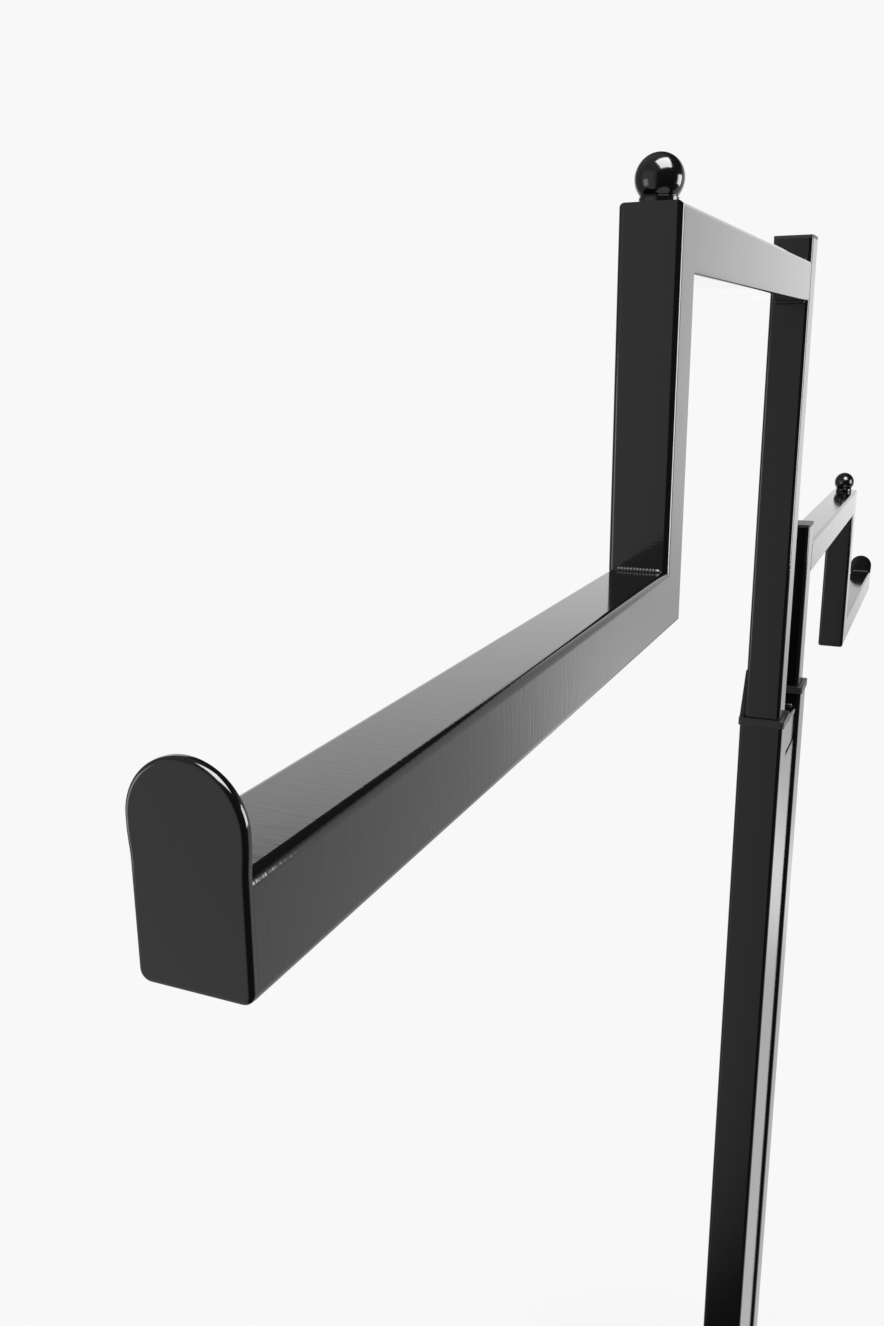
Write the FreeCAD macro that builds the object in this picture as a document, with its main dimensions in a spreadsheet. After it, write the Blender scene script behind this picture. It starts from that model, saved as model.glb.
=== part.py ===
"""Standing rack with two height-adjustable stepped arms, as one parametric FreeCAD document.

Frame: millimetres, +Z up, origin on the floor under the middle of the base. The front arm
points along -Y, the rear arm along +Y, and +X is the right-hand side.

Each arm set (post, top bar, riser, arm, end plate, finial) slides in its own square sleeve.
The rear set is the front set turned half a turn about Z and set lower.
"""
import FreeCAD, Part
import Sketcher
import math
import os

from FreeCAD import Placement, Rotation, Vector

doc = FreeCAD.newDocument("StandingRack")

# ---------------------------------------------------------------- driving dimensions

DIMENSIONS = [
    # tubes of the arm sets
    ("tube_side", 25.0, "outer side of the square tube of posts, bars, risers and arms"),
    ("tube_wall", 1.5, "wall of that tube"),
    ("tube_corner", 2.5, "outer corner radius of that tube"),
    ("post_length", 996.0, "post tube, from its shoe to its cap"),
    ("post_above_bar", 14.0, "post tube above the top of the top bar"),
    ("bar_length", 363.0, "top bar, from the post to the outer face of the riser"),
    ("riser_length", 165.0, "riser, from the underside of the arm to the top of the bar"),
    ("arm_length", 326.0, "arm, from the back of the riser to the end plate"),
    # sleeves
    ("sleeve_side", 30.0, "outer side of the sleeve tube"),
    ("sleeve_wall", 1.5, "wall of the sleeve tube"),
    ("sleeve_corner", 2.5, "outer corner radius of the sleeve tube"),
    ("sleeve_length", 1049.0, "sleeve, from the mast plate to the guide collar"),
    ("sleeve_pitch", 95.0, "distance between the two sleeve centres"),
    ("lock_height", 959.0, "lock screw above the lower end of the sleeve"),
    ("lock_hole", 9.0, "clearance hole for the lock screw"),
    # link and web between the sleeves
    ("link_length", 65.0, "clear distance between the sleeves"),
    ("web_thick", 2.5, "thickness of the flat web"),
    ("web_recess", 2.0, "web behind the right faces of the sleeves"),
    # guide collar
    ("guide_side", 32.0, "outer side of the collar flange"),
    ("guide_flange", 5.0, "height of the collar flange"),
    ("guide_skirt", 60.0, "depth of the liner inside the sleeve"),
    ("guide_bore", 25.6, "square bore, a sliding fit on the post"),
    ("liner_corner", 1.05, "corner radius of the liner"),
    ("flange_corner", 2.5, "corner radius of the collar flange"),
    ("tongue_rise", 34.0, "height of the tapered tongue above the flange"),
    ("tongue_foot", 3.2, "thickness of the tongue at the flange"),
    ("tongue_tip", 0.6, "thickness of the tongue at its tip"),
    ("tongue_width", 20.0, "width of the tongue"),
    # post plugs
    ("cap_lip", 2.0, "visible height of the post cap"),
    ("plug_depth", 15.0, "depth of a plug inside its tube"),
    ("plug_corner", 1.2, "corner radius of a plug inside its tube"),
    ("shoe_side", 26.4, "outer side of the post shoe"),
    ("shoe_lip", 5.0, "height of the post shoe below the tube"),
    # end plate
    ("plate_thick", 2.0, "thickness of the end plate"),
    ("plate_foot", 25.0, "width of the end plate beside the arm"),
    ("plate_head", 25.8, "width of the end plate above the arm"),
    ("plate_height", 45.5, "height of the end plate"),
    ("plate_waist", 24.0, "height where the end plate starts to widen"),
    ("plate_edge", 1.1, "rounding of the outer rim of the end plate"),
    ("plate_corner", 3.5, "rounding of its two lower corners"),
    # finial
    ("ball_dia", 19.2, "ball of the finial"),
    ("ball_height", 9.2, "ball centre above the top bar"),
    ("collar_dia", 15.4, "base collar of the finial"),
    ("collar_rise", 2.6, "height of the base collar"),
    ("neck_dia", 15.0, "ball where it meets the base collar"),
    ("stud_dia", 6.0, "threaded stud of the finial"),
    ("stud_length", 8.0, "stud below the base collar"),
    ("stud_hole", 6.5, "clearance hole for the stud"),
    ("nut_side", 10.0, "square weld nut under the finial"),
    ("nut_thick", 5.0, "thickness of that nut"),
    # base
    ("ground_gap", 16.0, "clearance under the base tubes"),
    ("base_depth", 30.0, "height of the base tubes"),
    ("base_wall", 2.0, "wall of the base tubes"),
    ("base_corner", 3.0, "outer corner radius of the base tubes"),
    ("rail_width", 60.0, "width of the base rail"),
    ("rail_length", 700.0, "length of the base rail"),
    ("foot_width", 50.0, "width of a cross foot"),
    ("foot_length", 514.0, "length of a cross foot without its end caps"),
    ("foot_cap_lip", 3.0, "visible thickness of an end cap"),
    ("block_depth", 15.0, "threaded block inside each end of the rail"),
    ("foot_bolt_half", 15.0, "foot bolts left and right of the middle"),
    ("bolt_hole", 8.6, "clearance hole for an M8 bolt"),
    ("bolt_dia", 8.0, "shank of an M8 bolt"),
    ("thread_bore", 8.1, "bore of an M8 thread"),
    ("head_across", 13.0, "M8 hexagon across the flats"),
    ("head_thick", 5.3, "height of an M8 bolt head"),
    ("mast_nut_thick", 6.5, "height of an M8 nut"),
    ("foot_bolt_length", 64.0, "shank of a foot bolt"),
    ("mast_bolt_length", 45.0, "shank of a mast bolt"),
    ("mast_bolt_half_x", 18.0, "mast bolts left and right of the middle"),
    ("mast_bolt_half_y", 76.0, "mast bolts in front of and behind the middle"),
    ("mast_plate_width", 60.0, "width of the mast plate"),
    ("mast_plate_length", 180.0, "length of the mast plate"),
    ("mast_plate_thick", 5.0, "thickness of the mast plate"),
    # levelling feet
    ("leveler_half_x", 235.0, "levelling feet left and right of the middle"),
    ("insert_dia", 11.0, "barrel of the threaded insert"),
    ("insert_hole", 11.1, "hole for that insert"),
    ("insert_length", 12.0, "barrel length of the insert"),
    ("insert_flange_dia", 16.0, "flange of the insert"),
    ("insert_flange", 1.5, "thickness of that flange"),
    ("pad_dia", 30.0, "diameter of the foot pad"),
    ("pad_height", 8.0, "height of the foot pad"),
    ("leveler_stud_length", 34.0, "stud of the levelling foot"),
    ("leveler_hex", 4.0, "height of the hexagon on that stud"),
    # lock screws
    ("boss_side", 20.0, "side of the threaded lock boss"),
    ("boss_thick", 8.0, "thickness of the lock boss"),
    ("lock_tip_gap", 0.3, "gap between the screw tip and the post, unlocked"),
    ("lock_screw_length", 22.0, "length of the lock screw"),
    ("knob_dia", 20.0, "diameter of the lock knob over its lobes"),
    ("knob_thick", 15.0, "height of the lock knob"),
    ("knob_waist", 1.1, "depth of the hollows between the lobes"),
    ("knob_hollow", 5.0, "diameter of the cutter of those hollows"),
    ("knob_crown", 1.5, "rounding of the knob's outer rim"),
    ("knob_offset", 1.5, "gap between the lock boss and the knob"),
    # heights of the assembly
    ("arm_height", 1251.0, "underside of the front arm above the floor"),
    ("rear_drop", 200.0, "rear arm set below the front one"),
    ("upper_link_height", 1065.0, "underside of the upper link"),
]

sheet = doc.addObject("Spreadsheet::Sheet", "Dimensions")
for row, (alias, value, meaning) in enumerate(DIMENSIONS, start=1):
    sheet.set(f"A{row}", alias)
    sheet.set(f"B{row}", str(value))
    sheet.set(f"C{row}", meaning)
    sheet.setAlias(f"B{row}", alias)
doc.recompute()

SIZE = {alias: getattr(sheet, alias) for alias, _, _ in DIMENSIONS}

# Placement of a tube whose own Z runs outward along the arm, and its own Y runs up.
OUTWARD = Rotation(Vector(1, 0, 0), 90)
# Placement of a tube whose own Z runs along global +Y.
BACKWARD = Rotation(Vector(1, 0, 0), -90)

sub_parts = []


# ---------------------------------------------------------------- helpers


def origin_plane(body, role):
    """Return one of a body's own origin planes, such as XY_Plane."""
    for feature in body.Origin.OriginFeatures:
        if feature.Role == role:
            return feature
    raise LookupError(role)


def new_body(label):
    """Start a PartDesign body for one sub-part."""
    body = doc.addObject("PartDesign::Body", label)
    body.Label = label
    return body


def new_sketch(body, role, name):
    """Add a sketch to a body, lying flat on one of its origin planes."""
    sketch = body.newObject("Sketcher::SketchObject", name)
    sketch.AttachmentSupport = (origin_plane(body, role), [""])
    sketch.MapMode = "FlatFace"
    return sketch


def add_rectangle(sketch, width, height):
    """Draw a rectangle centred on the sketch origin, its two sides bound to expressions."""
    first = sketch.GeometryCount
    corners = [Vector(-9, -9, 0), Vector(9, -9, 0), Vector(9, 9, 0), Vector(-9, 9, 0)]
    for index in range(4):
        sketch.addGeometry(Part.LineSegment(corners[index], corners[(index + 1) % 4]), False)
    Constraint = Sketcher.Constraint
    for index in range(4):
        following = first + (index + 1) % 4
        sketch.addConstraint(Constraint("Coincident", first + index, 2, following, 1))
    for index, kind in enumerate(("Horizontal", "Vertical", "Horizontal", "Vertical")):
        sketch.addConstraint(Constraint(kind, first + index))
    sketch.addConstraint(Constraint("Symmetric", first, 1, first + 2, 1, -1, 1))
    across = sketch.addConstraint(Constraint("DistanceX", first, 1, first, 2, 18.0))
    sketch.setExpression(f"Constraints[{across}]", width)
    upward = sketch.addConstraint(Constraint("DistanceY", first + 1, 1, first + 1, 2, 18.0))
    sketch.setExpression(f"Constraints[{upward}]", height)


def add_circle(sketch, diameter, x_text, y_text):
    """Draw a circle whose diameter and centre are bound to expressions."""
    index = sketch.addGeometry(Part.Circle(Vector(30, 30, 0), Vector(0, 0, 1), 3), False)
    Constraint = Sketcher.Constraint
    round_size = sketch.addConstraint(Constraint("Diameter", index, 6.0))
    sketch.setExpression(f"Constraints[{round_size}]", diameter)
    for kind, text in (("DistanceX", x_text), ("DistanceY", y_text)):
        place = sketch.addConstraint(Constraint(kind, -1, 1, index, 3, 30.0))
        sketch.setExpression(f"Constraints[{place}]", text)


def add_outline(sketch, points):
    """Draw a closed outline of straight lines through points of the sketch plane."""
    count = len(points)
    first = sketch.GeometryCount
    for index in range(count):
        start = Vector(*points[index], 0)
        finish = Vector(*points[(index + 1) % count], 0)
        sketch.addGeometry(Part.LineSegment(start, finish), False)
    for index in range(count):
        following = first + (index + 1) % count
        sketch.addConstraint(Sketcher.Constraint("Coincident", first + index, 2, following, 1))


def pad(body, sketch, length, name):
    """Pad a sketch by a length given as an expression."""
    feature = body.newObject("PartDesign::Pad", name)
    feature.Profile = sketch
    feature.setExpression("Length", length)
    sketch.Visibility = False
    doc.recompute()
    return feature


def pocket(body, sketch, length, name, both_sides=False):
    """Cut a sketch out of a body, trying the other direction when the first one cuts nothing."""
    before = body.Shape.Volume
    feature = body.newObject("PartDesign::Pocket", name)
    feature.Profile = sketch
    feature.setExpression("Length", length)
    if both_sides:
        feature.SideType = "Symmetric"
    sketch.Visibility = False
    doc.recompute()
    if body.Shape.Volume > before - 0.5 and not both_sides:
        feature.Reversed = True
        doc.recompute()
    if body.Shape.Volume > before - 0.5:
        raise RuntimeError(f"{body.Label}: {name} cuts nothing")
    return feature


def round_long_edges(body, base, half_width, half_height, radius, name):
    """Round the edges that run along Z at the corners of a rectangle."""
    names = []
    for number, edge in enumerate(base.Shape.Edges, start=1):
        middle = edge.CenterOfMass
        runs_along_z = abs(edge.BoundBox.ZLength - edge.Length) < 1e-4
        at_corner = abs(abs(middle.x) - half_width) < 1e-4 and abs(abs(middle.y) - half_height) < 1e-4
        if runs_along_z and at_corner:
            names.append(f"Edge{number}")
    feature = body.newObject("PartDesign::Fillet", name)
    feature.Base = (base, names)
    feature.setExpression("Radius", radius)
    doc.recompute()
    return feature


def tube_body(label, width, height, wall, corner, length):
    """Make a rounded rectangular tube along Z, all sizes given as sheet aliases."""
    body = new_body(label)
    section = new_sketch(body, "XY_Plane", f"{label}_section")
    add_rectangle(section, f"Dimensions.{width}", f"Dimensions.{height}")
    inner_width = f"Dimensions.{width} - 2 * Dimensions.{wall}"
    inner_height = f"Dimensions.{height} - 2 * Dimensions.{wall}"
    add_rectangle(section, inner_width, inner_height)
    tube = pad(body, section, f"Dimensions.{length}", f"{label}_pad")
    tube = round_long_edges(
        body, tube, SIZE[width] / 2, SIZE[height] / 2, f"Dimensions.{corner}", f"{label}_outer_round"
    )
    round_long_edges(
        body,
        tube,
        SIZE[width] / 2 - SIZE[wall],
        SIZE[height] / 2 - SIZE[wall],
        f"Dimensions.{corner} - Dimensions.{wall} + 0.001",
        f"{label}_inner_round",
    )
    return body


def plug_body(label, side_x, side_y, inner_x, inner_y, lip, depth):
    """Make a moulded plug: a lip of full size under a smaller insert along +Z."""
    body = new_body(label)
    lip_sketch = new_sketch(body, "XY_Plane", f"{label}_lip_sketch")
    add_rectangle(lip_sketch, side_x, side_y)
    lip_pad = pad(body, lip_sketch, lip, f"{label}_lip")
    lip_x = lip_pad.Shape.BoundBox.XLength / 2
    lip_y = lip_pad.Shape.BoundBox.YLength / 2
    round_long_edges(body, lip_pad, lip_x, lip_y, "Dimensions.tube_corner", f"{label}_lip_round")
    insert_sketch = new_sketch(body, "XY_Plane", f"{label}_insert_sketch")
    add_rectangle(insert_sketch, inner_x, inner_y)
    insert = pad(body, insert_sketch, f"{lip} + {depth}", f"{label}_insert")
    half_x = insert_sketch.Shape.BoundBox.XLength / 2
    half_y = insert_sketch.Shape.BoundBox.YLength / 2
    round_long_edges(body, insert, half_x, half_y, expr("plug_corner"), f"{label}_insert_round")
    return body


def mitre(body, points, name):
    """Cut a tube's end off along a slope, by a triangle of the body's own YZ plane."""
    sketch = new_sketch(body, "YZ_Plane", name)
    add_outline(sketch, points)
    return pocket(body, sketch, "Dimensions.tube_side + 2", f"{name}_cut", both_sides=True)


def cross_hole(body, role, diameter, x_text, y_text, depth, name):
    """Cut a round hole from an origin plane of the body through one wall or both."""
    sketch = new_sketch(body, role, name)
    add_circle(sketch, diameter, x_text, y_text)
    return pocket(body, sketch, depth, f"{name}_cut")


def place(feature, position, rotation=Rotation(), carrier=Placement()):
    """Put a sub-part in place, in the frame of a carrier, and list it for export."""
    feature.Placement = carrier.multiply(Placement(position, rotation))
    sub_parts.append(feature)
    return feature


def cylinder(name, diameter, height, position, rotation=Rotation()):
    """Add a Part cylinder along its own Z with both sizes bound to expressions."""
    solid = doc.addObject("Part::Cylinder", name)
    solid.setExpression("Radius", f"({diameter}) / 2")
    solid.setExpression("Height", height)
    solid.Placement = Placement(position, rotation)
    return solid


def hexagon(name, across, height, position, rotation=Rotation()):
    """Add a hexagonal prism along its own Z with both sizes bound to expressions."""
    solid = doc.addObject("Part::Prism", name)
    solid.Polygon = 6
    solid.setExpression("Circumradius", f"({across}) / 2 / cos(30)")
    solid.setExpression("Height", height)
    solid.Placement = Placement(position, rotation)
    return solid


def box(name, length, width, height, position):
    """Add a Part box centred on X and Y, standing on its position."""
    solid = doc.addObject("Part::Box", name)
    solid.setExpression("Length", length)
    solid.setExpression("Width", width)
    solid.setExpression("Height", height)
    doc.recompute()
    middle = Vector(-solid.Length.Value / 2, -solid.Width.Value / 2, 0)
    solid.Placement = Placement(position + middle, Rotation())
    return solid


def boolean(kind, label, base, tool):
    """Cut, fuse or intersect two solids into one."""
    result = doc.addObject(f"Part::{kind}", label)
    result.Base = base
    result.Tool = tool
    result.Label = label
    return result


def compound(label, solids):
    """Hold identical fasteners together in one sub-part, as separate solids."""
    result = doc.addObject("Part::Compound", label)
    result.Links = solids
    result.Label = label
    return result


def expr(alias):
    """Write a sheet alias as an expression."""
    return f"Dimensions.{alias}"


# ---------------------------------------------------------------- levels worked out once

HALF = SIZE["tube_side"] / 2
KNOB_LOBES = 8
PITCH_HALF = SIZE["sleeve_pitch"] / 2
BASE_TOP = SIZE["ground_gap"] + SIZE["base_depth"]
SLEEVE_FOOT = BASE_TOP + SIZE["mast_plate_thick"]
SLEEVE_TOP = SLEEVE_FOOT + SIZE["sleeve_length"]
LOCK_LEVEL = SLEEVE_FOOT + SIZE["lock_height"]
BAR_TOP = SIZE["arm_height"] + SIZE["riser_length"]
POST_FACE = -(PITCH_HALF + HALF)
RISER_FRONT = POST_FACE - SIZE["bar_length"]
RISER_AXIS = RISER_FRONT + HALF
RISER_BACK = RISER_FRONT + SIZE["tube_side"]
ARM_END = RISER_BACK - SIZE["arm_length"]
FOOT_AXIS = SIZE["rail_length"] / 2 + SIZE["foot_width"] / 2
FOOT_OUTER = SIZE["rail_length"] / 2 + SIZE["foot_width"]
BASE_AXIS_LEVEL = SIZE["ground_gap"] + SIZE["base_depth"] / 2

SQUARE_TUBE = ("tube_side", "tube_side", "tube_wall", "tube_corner")
SLEEVE_TUBE = ("sleeve_side", "sleeve_side", "sleeve_wall", "sleeve_corner")


# ---------------------------------------------------------------- one arm set


def build_arm_set(side, carrier):
    """Build post, bar, riser, arm, end plate and finial of one side in a carrier frame."""
    tube = SIZE["tube_side"]

    post = tube_body(f"{side}_post", *SQUARE_TUBE, "post_length")
    post_top = BAR_TOP + SIZE["post_above_bar"]
    post_foot = post_top - SIZE["post_length"]
    place(post, Vector(0, -PITCH_HALF, post_foot), carrier=carrier)

    inner = "Dimensions.tube_side - 2 * Dimensions.tube_wall - 0.1"
    cap = plug_body(
        f"{side}_post_cap",
        expr("tube_side"),
        expr("tube_side"),
        inner,
        inner,
        expr("cap_lip"),
        expr("plug_depth"),
    )
    upside_down = Rotation(Vector(1, 0, 0), 180)
    cap_level = post_top + SIZE["cap_lip"]
    place(cap, Vector(0, -PITCH_HALF, cap_level), upside_down, carrier)

    shoe = plug_body(
        f"{side}_post_shoe",
        expr("shoe_side"),
        expr("shoe_side"),
        inner,
        inner,
        expr("shoe_lip"),
        expr("plug_depth"),
    )
    place(shoe, Vector(0, -PITCH_HALF, post_foot - SIZE["shoe_lip"]), carrier=carrier)

    bar = tube_body(f"{side}_top_bar", *SQUARE_TUBE, "bar_length")
    length = SIZE["bar_length"]
    mitre(bar, [(HALF, length), (-HALF - 1, length + 1), (-HALF - 1, length - tube - 1)], f"{side}_bar_mitre")
    cross_hole(
        bar, "XZ_Plane", expr("stud_hole"), "0", "Dimensions.bar_length - Dimensions.tube_side / 2",
        "Dimensions.tube_side", f"{side}_stud_hole",
    )
    place(bar, Vector(0, POST_FACE, BAR_TOP - HALF), OUTWARD, carrier)

    riser = tube_body(f"{side}_riser", *SQUARE_TUBE, "riser_length")
    length = SIZE["riser_length"]
    wedge = [(-HALF, length), (HALF + 1, length + 1), (HALF + 1, length - tube - 1)]
    mitre(riser, wedge, f"{side}_riser_top")
    mitre(riser, [(HALF, 0), (-HALF - 1, -1), (-HALF - 1, tube + 1)], f"{side}_riser_foot")
    place(riser, Vector(0, RISER_AXIS, SIZE["arm_height"]), carrier=carrier)

    arm = tube_body(f"{side}_arm", *SQUARE_TUBE, "arm_length")
    mitre(arm, [(-HALF, 0), (HALF + 1, -1), (HALF + 1, tube + 1)], f"{side}_arm_mitre")
    place(arm, Vector(0, RISER_BACK, SIZE["arm_height"] + HALF), OUTWARD, carrier)

    plate = build_end_plate(f"{side}_end_plate")
    place(plate, Vector(0, ARM_END, SIZE["arm_height"]), OUTWARD, carrier)

    finial = build_finial(f"{side}_finial")
    place(finial, Vector(0, RISER_AXIS, BAR_TOP), carrier=carrier)

    nut_block = box(
        f"{side}_nut_block", expr("nut_side"), expr("nut_side"), expr("nut_thick"), Vector(0, 0, 0)
    )
    nut_bore = cylinder(
        f"{side}_nut_bore", "Dimensions.stud_dia + 0.1", "Dimensions.nut_thick + 2", Vector(0, 0, -1)
    )
    nut = boolean("Cut", f"{side}_finial_nut", nut_block, nut_bore)
    nut_level = BAR_TOP - SIZE["tube_wall"] - SIZE["nut_thick"]
    place(nut, Vector(0, RISER_AXIS, nut_level), carrier=carrier)


def build_end_plate(label):
    """Make the round-topped end plate, outline in its own XY plane, thickness along +Z."""
    body = new_body(label)
    sketch = new_sketch(body, "XY_Plane", f"{label}_outline")
    foot = SIZE["plate_foot"] / 2
    head = SIZE["plate_head"] / 2
    waist = SIZE["plate_waist"]
    shoulder = waist + 2
    spring = SIZE["plate_height"] - head
    left = [(-head, spring), (-head, shoulder), (-foot, waist), (-foot, 0)]
    path = left + [(-x, y) for x, y in reversed(left)]
    for start, finish in zip(path, path[1:]):
        sketch.addGeometry(Part.LineSegment(Vector(*start, 0), Vector(*finish, 0)), False)
    for index in range(len(path) - 2):
        sketch.addConstraint(Sketcher.Constraint("Coincident", index, 2, index + 1, 1))
    circle = Part.Circle(Vector(0, spring, 0), Vector(0, 0, 1), head)
    arc = sketch.addGeometry(Part.ArcOfCircle(circle, 0, math.pi), False)
    last = len(path) - 2
    sketch.addConstraint(Sketcher.Constraint("Coincident", arc, 1, last, 2))
    sketch.addConstraint(Sketcher.Constraint("Coincident", arc, 2, 0, 1))
    slab = pad(body, sketch, expr("plate_thick"), f"{label}_pad")
    corners = []
    for number, edge in enumerate(slab.Shape.Edges, start=1):
        middle = edge.CenterOfMass
        if abs(abs(middle.x) - foot) < 1e-4 and abs(middle.y) < 1e-4:
            corners.append(f"Edge{number}")
    lower = body.newObject("PartDesign::Fillet", f"{label}_corners")
    lower.Base = (slab, corners)
    lower.setExpression("Radius", expr("plate_corner"))
    doc.recompute()
    rim = []
    for number, edge in enumerate(lower.Shape.Edges, start=1):
        box_of_edge = edge.BoundBox
        if box_of_edge.ZMin > SIZE["plate_thick"] - 1e-4:
            rim.append(f"Edge{number}")
    soft = body.newObject("PartDesign::Fillet", f"{label}_rim")
    soft.Base = (lower, rim)
    soft.setExpression("Radius", expr("plate_edge"))
    doc.recompute()
    return body


def build_finial(label):
    """Turn the ball finial: stud, base collar and ball on one axis."""
    body = new_body(label)
    sketch = new_sketch(body, "XZ_Plane", f"{label}_profile")
    stud = SIZE["stud_dia"] / 2
    collar = SIZE["collar_dia"] / 2
    ball = SIZE["ball_dia"] / 2
    centre = SIZE["ball_height"]
    neck = SIZE["neck_dia"] / 2
    drop = (ball**2 - neck**2) ** 0.5
    joint = centre - drop
    top = centre + ball
    length = SIZE["stud_length"]
    rise = SIZE["collar_rise"]
    points = [(0, -length), (stud, -length), (stud, 0), (collar, 0), (collar, rise), (neck, joint)]
    for start, finish in zip(points, points[1:]):
        sketch.addGeometry(Part.LineSegment(Vector(*start, 0), Vector(*finish, 0)), False)
    side = Vector(ball, centre, 0)
    arc = Part.Arc(Vector(neck, joint, 0), side, Vector(0, top, 0))
    sketch.addGeometry(arc, False)
    sketch.addGeometry(Part.LineSegment(Vector(0, top, 0), Vector(0, -length, 0)), False)
    turned = body.newObject("PartDesign::Revolution", f"{label}_turned")
    turned.Profile = sketch
    turned.ReferenceAxis = (sketch, ["V_Axis"])
    turned.Angle = 360.0
    sketch.Visibility = False
    doc.recompute()
    return body


front_carrier = Placement()
rear_carrier = Placement(Vector(0, 0, -SIZE["rear_drop"]), Rotation(Vector(0, 0, 1), 180))
build_arm_set("front", front_carrier)
build_arm_set("rear", rear_carrier)

# ---------------------------------------------------------------- mast: sleeves, guides, links, locks


def build_guide(label):
    """Make a guide collar: flange, thin liner below it and a tapered tongue on its left."""
    body = new_body(label)
    liner_sketch = new_sketch(body, "XY_Plane", f"{label}_liner_sketch")
    add_rectangle(
        liner_sketch,
        "Dimensions.sleeve_side - 2 * Dimensions.sleeve_wall",
        "Dimensions.sleeve_side - 2 * Dimensions.sleeve_wall",
    )
    liner = pad(body, liner_sketch, expr("guide_skirt"), f"{label}_liner")
    half = SIZE["sleeve_side"] / 2 - SIZE["sleeve_wall"]
    round_long_edges(body, liner, half, half, expr("liner_corner"), f"{label}_liner_round")
    flange_sketch = new_sketch(body, "XY_Plane", f"{label}_flange_sketch")
    flange_sketch.AttachmentOffset = Placement(Vector(0, 0, SIZE["guide_skirt"]), Rotation())
    add_rectangle(flange_sketch, expr("guide_side"), expr("guide_side"))
    flange = pad(body, flange_sketch, expr("guide_flange"), f"{label}_flange")
    half = SIZE["guide_side"] / 2
    round_long_edges(body, flange, half, half, expr("flange_corner"), f"{label}_flange_round")

    tongue_sketch = new_sketch(body, "XZ_Plane", f"{label}_tongue_sketch")
    inside = -SIZE["guide_bore"] / 2
    seat = SIZE["guide_skirt"] + SIZE["guide_flange"]
    top = seat + SIZE["tongue_rise"]
    add_outline(
        tongue_sketch,
        [
            (inside, seat - 1),
            (inside, top),
            (inside - SIZE["tongue_tip"], top),
            (inside - SIZE["tongue_foot"], seat),
            (inside - SIZE["tongue_foot"], seat - 1),
        ],
    )
    tongue = body.newObject("PartDesign::Pad", f"{label}_tongue")
    tongue.Profile = tongue_sketch
    tongue.setExpression("Length", expr("tongue_width"))
    tongue.SideType = "Symmetric"
    tongue_sketch.Visibility = False
    doc.recompute()

    bore_sketch = new_sketch(body, "XY_Plane", f"{label}_bore_sketch")
    bore_sketch.AttachmentOffset = Placement(Vector(0, 0, seat), Rotation())
    add_rectangle(bore_sketch, expr("guide_bore"), expr("guide_bore"))
    pocket(body, bore_sketch, "Dimensions.guide_skirt + Dimensions.guide_flange + 1", f"{label}_bore")
    return body


def build_lock(side, y_face, y_post):
    """Build the lock of one sleeve: threaded boss, screw and lobed knob, pointing along -Y."""
    boss_block = box(f"{side}_boss_block", expr("boss_side"), expr("boss_side"), expr("boss_thick"), Vector())
    bore_depth = "Dimensions.boss_thick + 2"
    boss_bore = cylinder(f"{side}_boss_bore", expr("thread_bore"), bore_depth, Vector(0, 0, -1))
    boss = boolean("Cut", f"{side}_lock_boss", boss_block, boss_bore)
    place(boss, Vector(0, y_face, LOCK_LEVEL), BACKWARD)

    screw = cylinder(f"{side}_lock_screw", expr("bolt_dia"), expr("lock_screw_length"), Vector())
    screw.Label = f"{side}_lock_screw"
    place(screw, Vector(0, y_post + SIZE["lock_tip_gap"], LOCK_LEVEL), BACKWARD)

    knob = build_knob(f"{side}_lock_knob", y_face, y_post)
    knob_foot = y_face + SIZE["boss_thick"] + SIZE["knob_offset"]
    place(knob, Vector(0, knob_foot, LOCK_LEVEL), BACKWARD)


def build_knob(label, y_face, y_post):
    """Make a lobed moulded knob with a blind bore for its screw."""
    body = new_body(label)
    sketch = new_sketch(body, "XY_Plane", f"{label}_round_sketch")
    add_circle(sketch, expr("knob_dia"), "0", "0")
    disc = pad(body, sketch, expr("knob_thick"), f"{label}_disc")
    rim = []
    for number, edge in enumerate(disc.Shape.Edges, start=1):
        if edge.Closed and edge.BoundBox.ZMin > SIZE["knob_thick"] - 1e-4:
            rim.append(f"Edge{number}")
    soft = body.newObject("PartDesign::Fillet", f"{label}_crown")
    soft.Base = (disc, rim)
    soft.setExpression("Radius", expr("knob_crown"))
    doc.recompute()
    hollow = new_sketch(body, "XY_Plane", f"{label}_hollow_sketch")
    centre = "(Dimensions.knob_dia + Dimensions.knob_hollow) / 2 - Dimensions.knob_waist"
    add_circle(hollow, expr("knob_hollow"), centre, "0")
    cut = pocket(body, hollow, "Dimensions.knob_thick + 1", f"{label}_hollow")
    ring = body.newObject("PartDesign::PolarPattern", f"{label}_hollows")
    ring.Originals = [cut]
    ring.Axis = (hollow, ["N_Axis"])
    ring.Angle = 360
    ring.Occurrences = KNOB_LOBES
    body.Tip = ring
    doc.recompute()
    depth = y_post + SIZE["lock_tip_gap"] + SIZE["lock_screw_length"]
    depth = depth - (y_face + SIZE["boss_thick"] + SIZE["knob_offset"])
    bore = new_sketch(body, "XY_Plane", f"{label}_bore_sketch")
    add_circle(bore, expr("bolt_dia"), "0", "0")
    pocket(body, bore, str(depth), f"{label}_bore")
    return body


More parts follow.
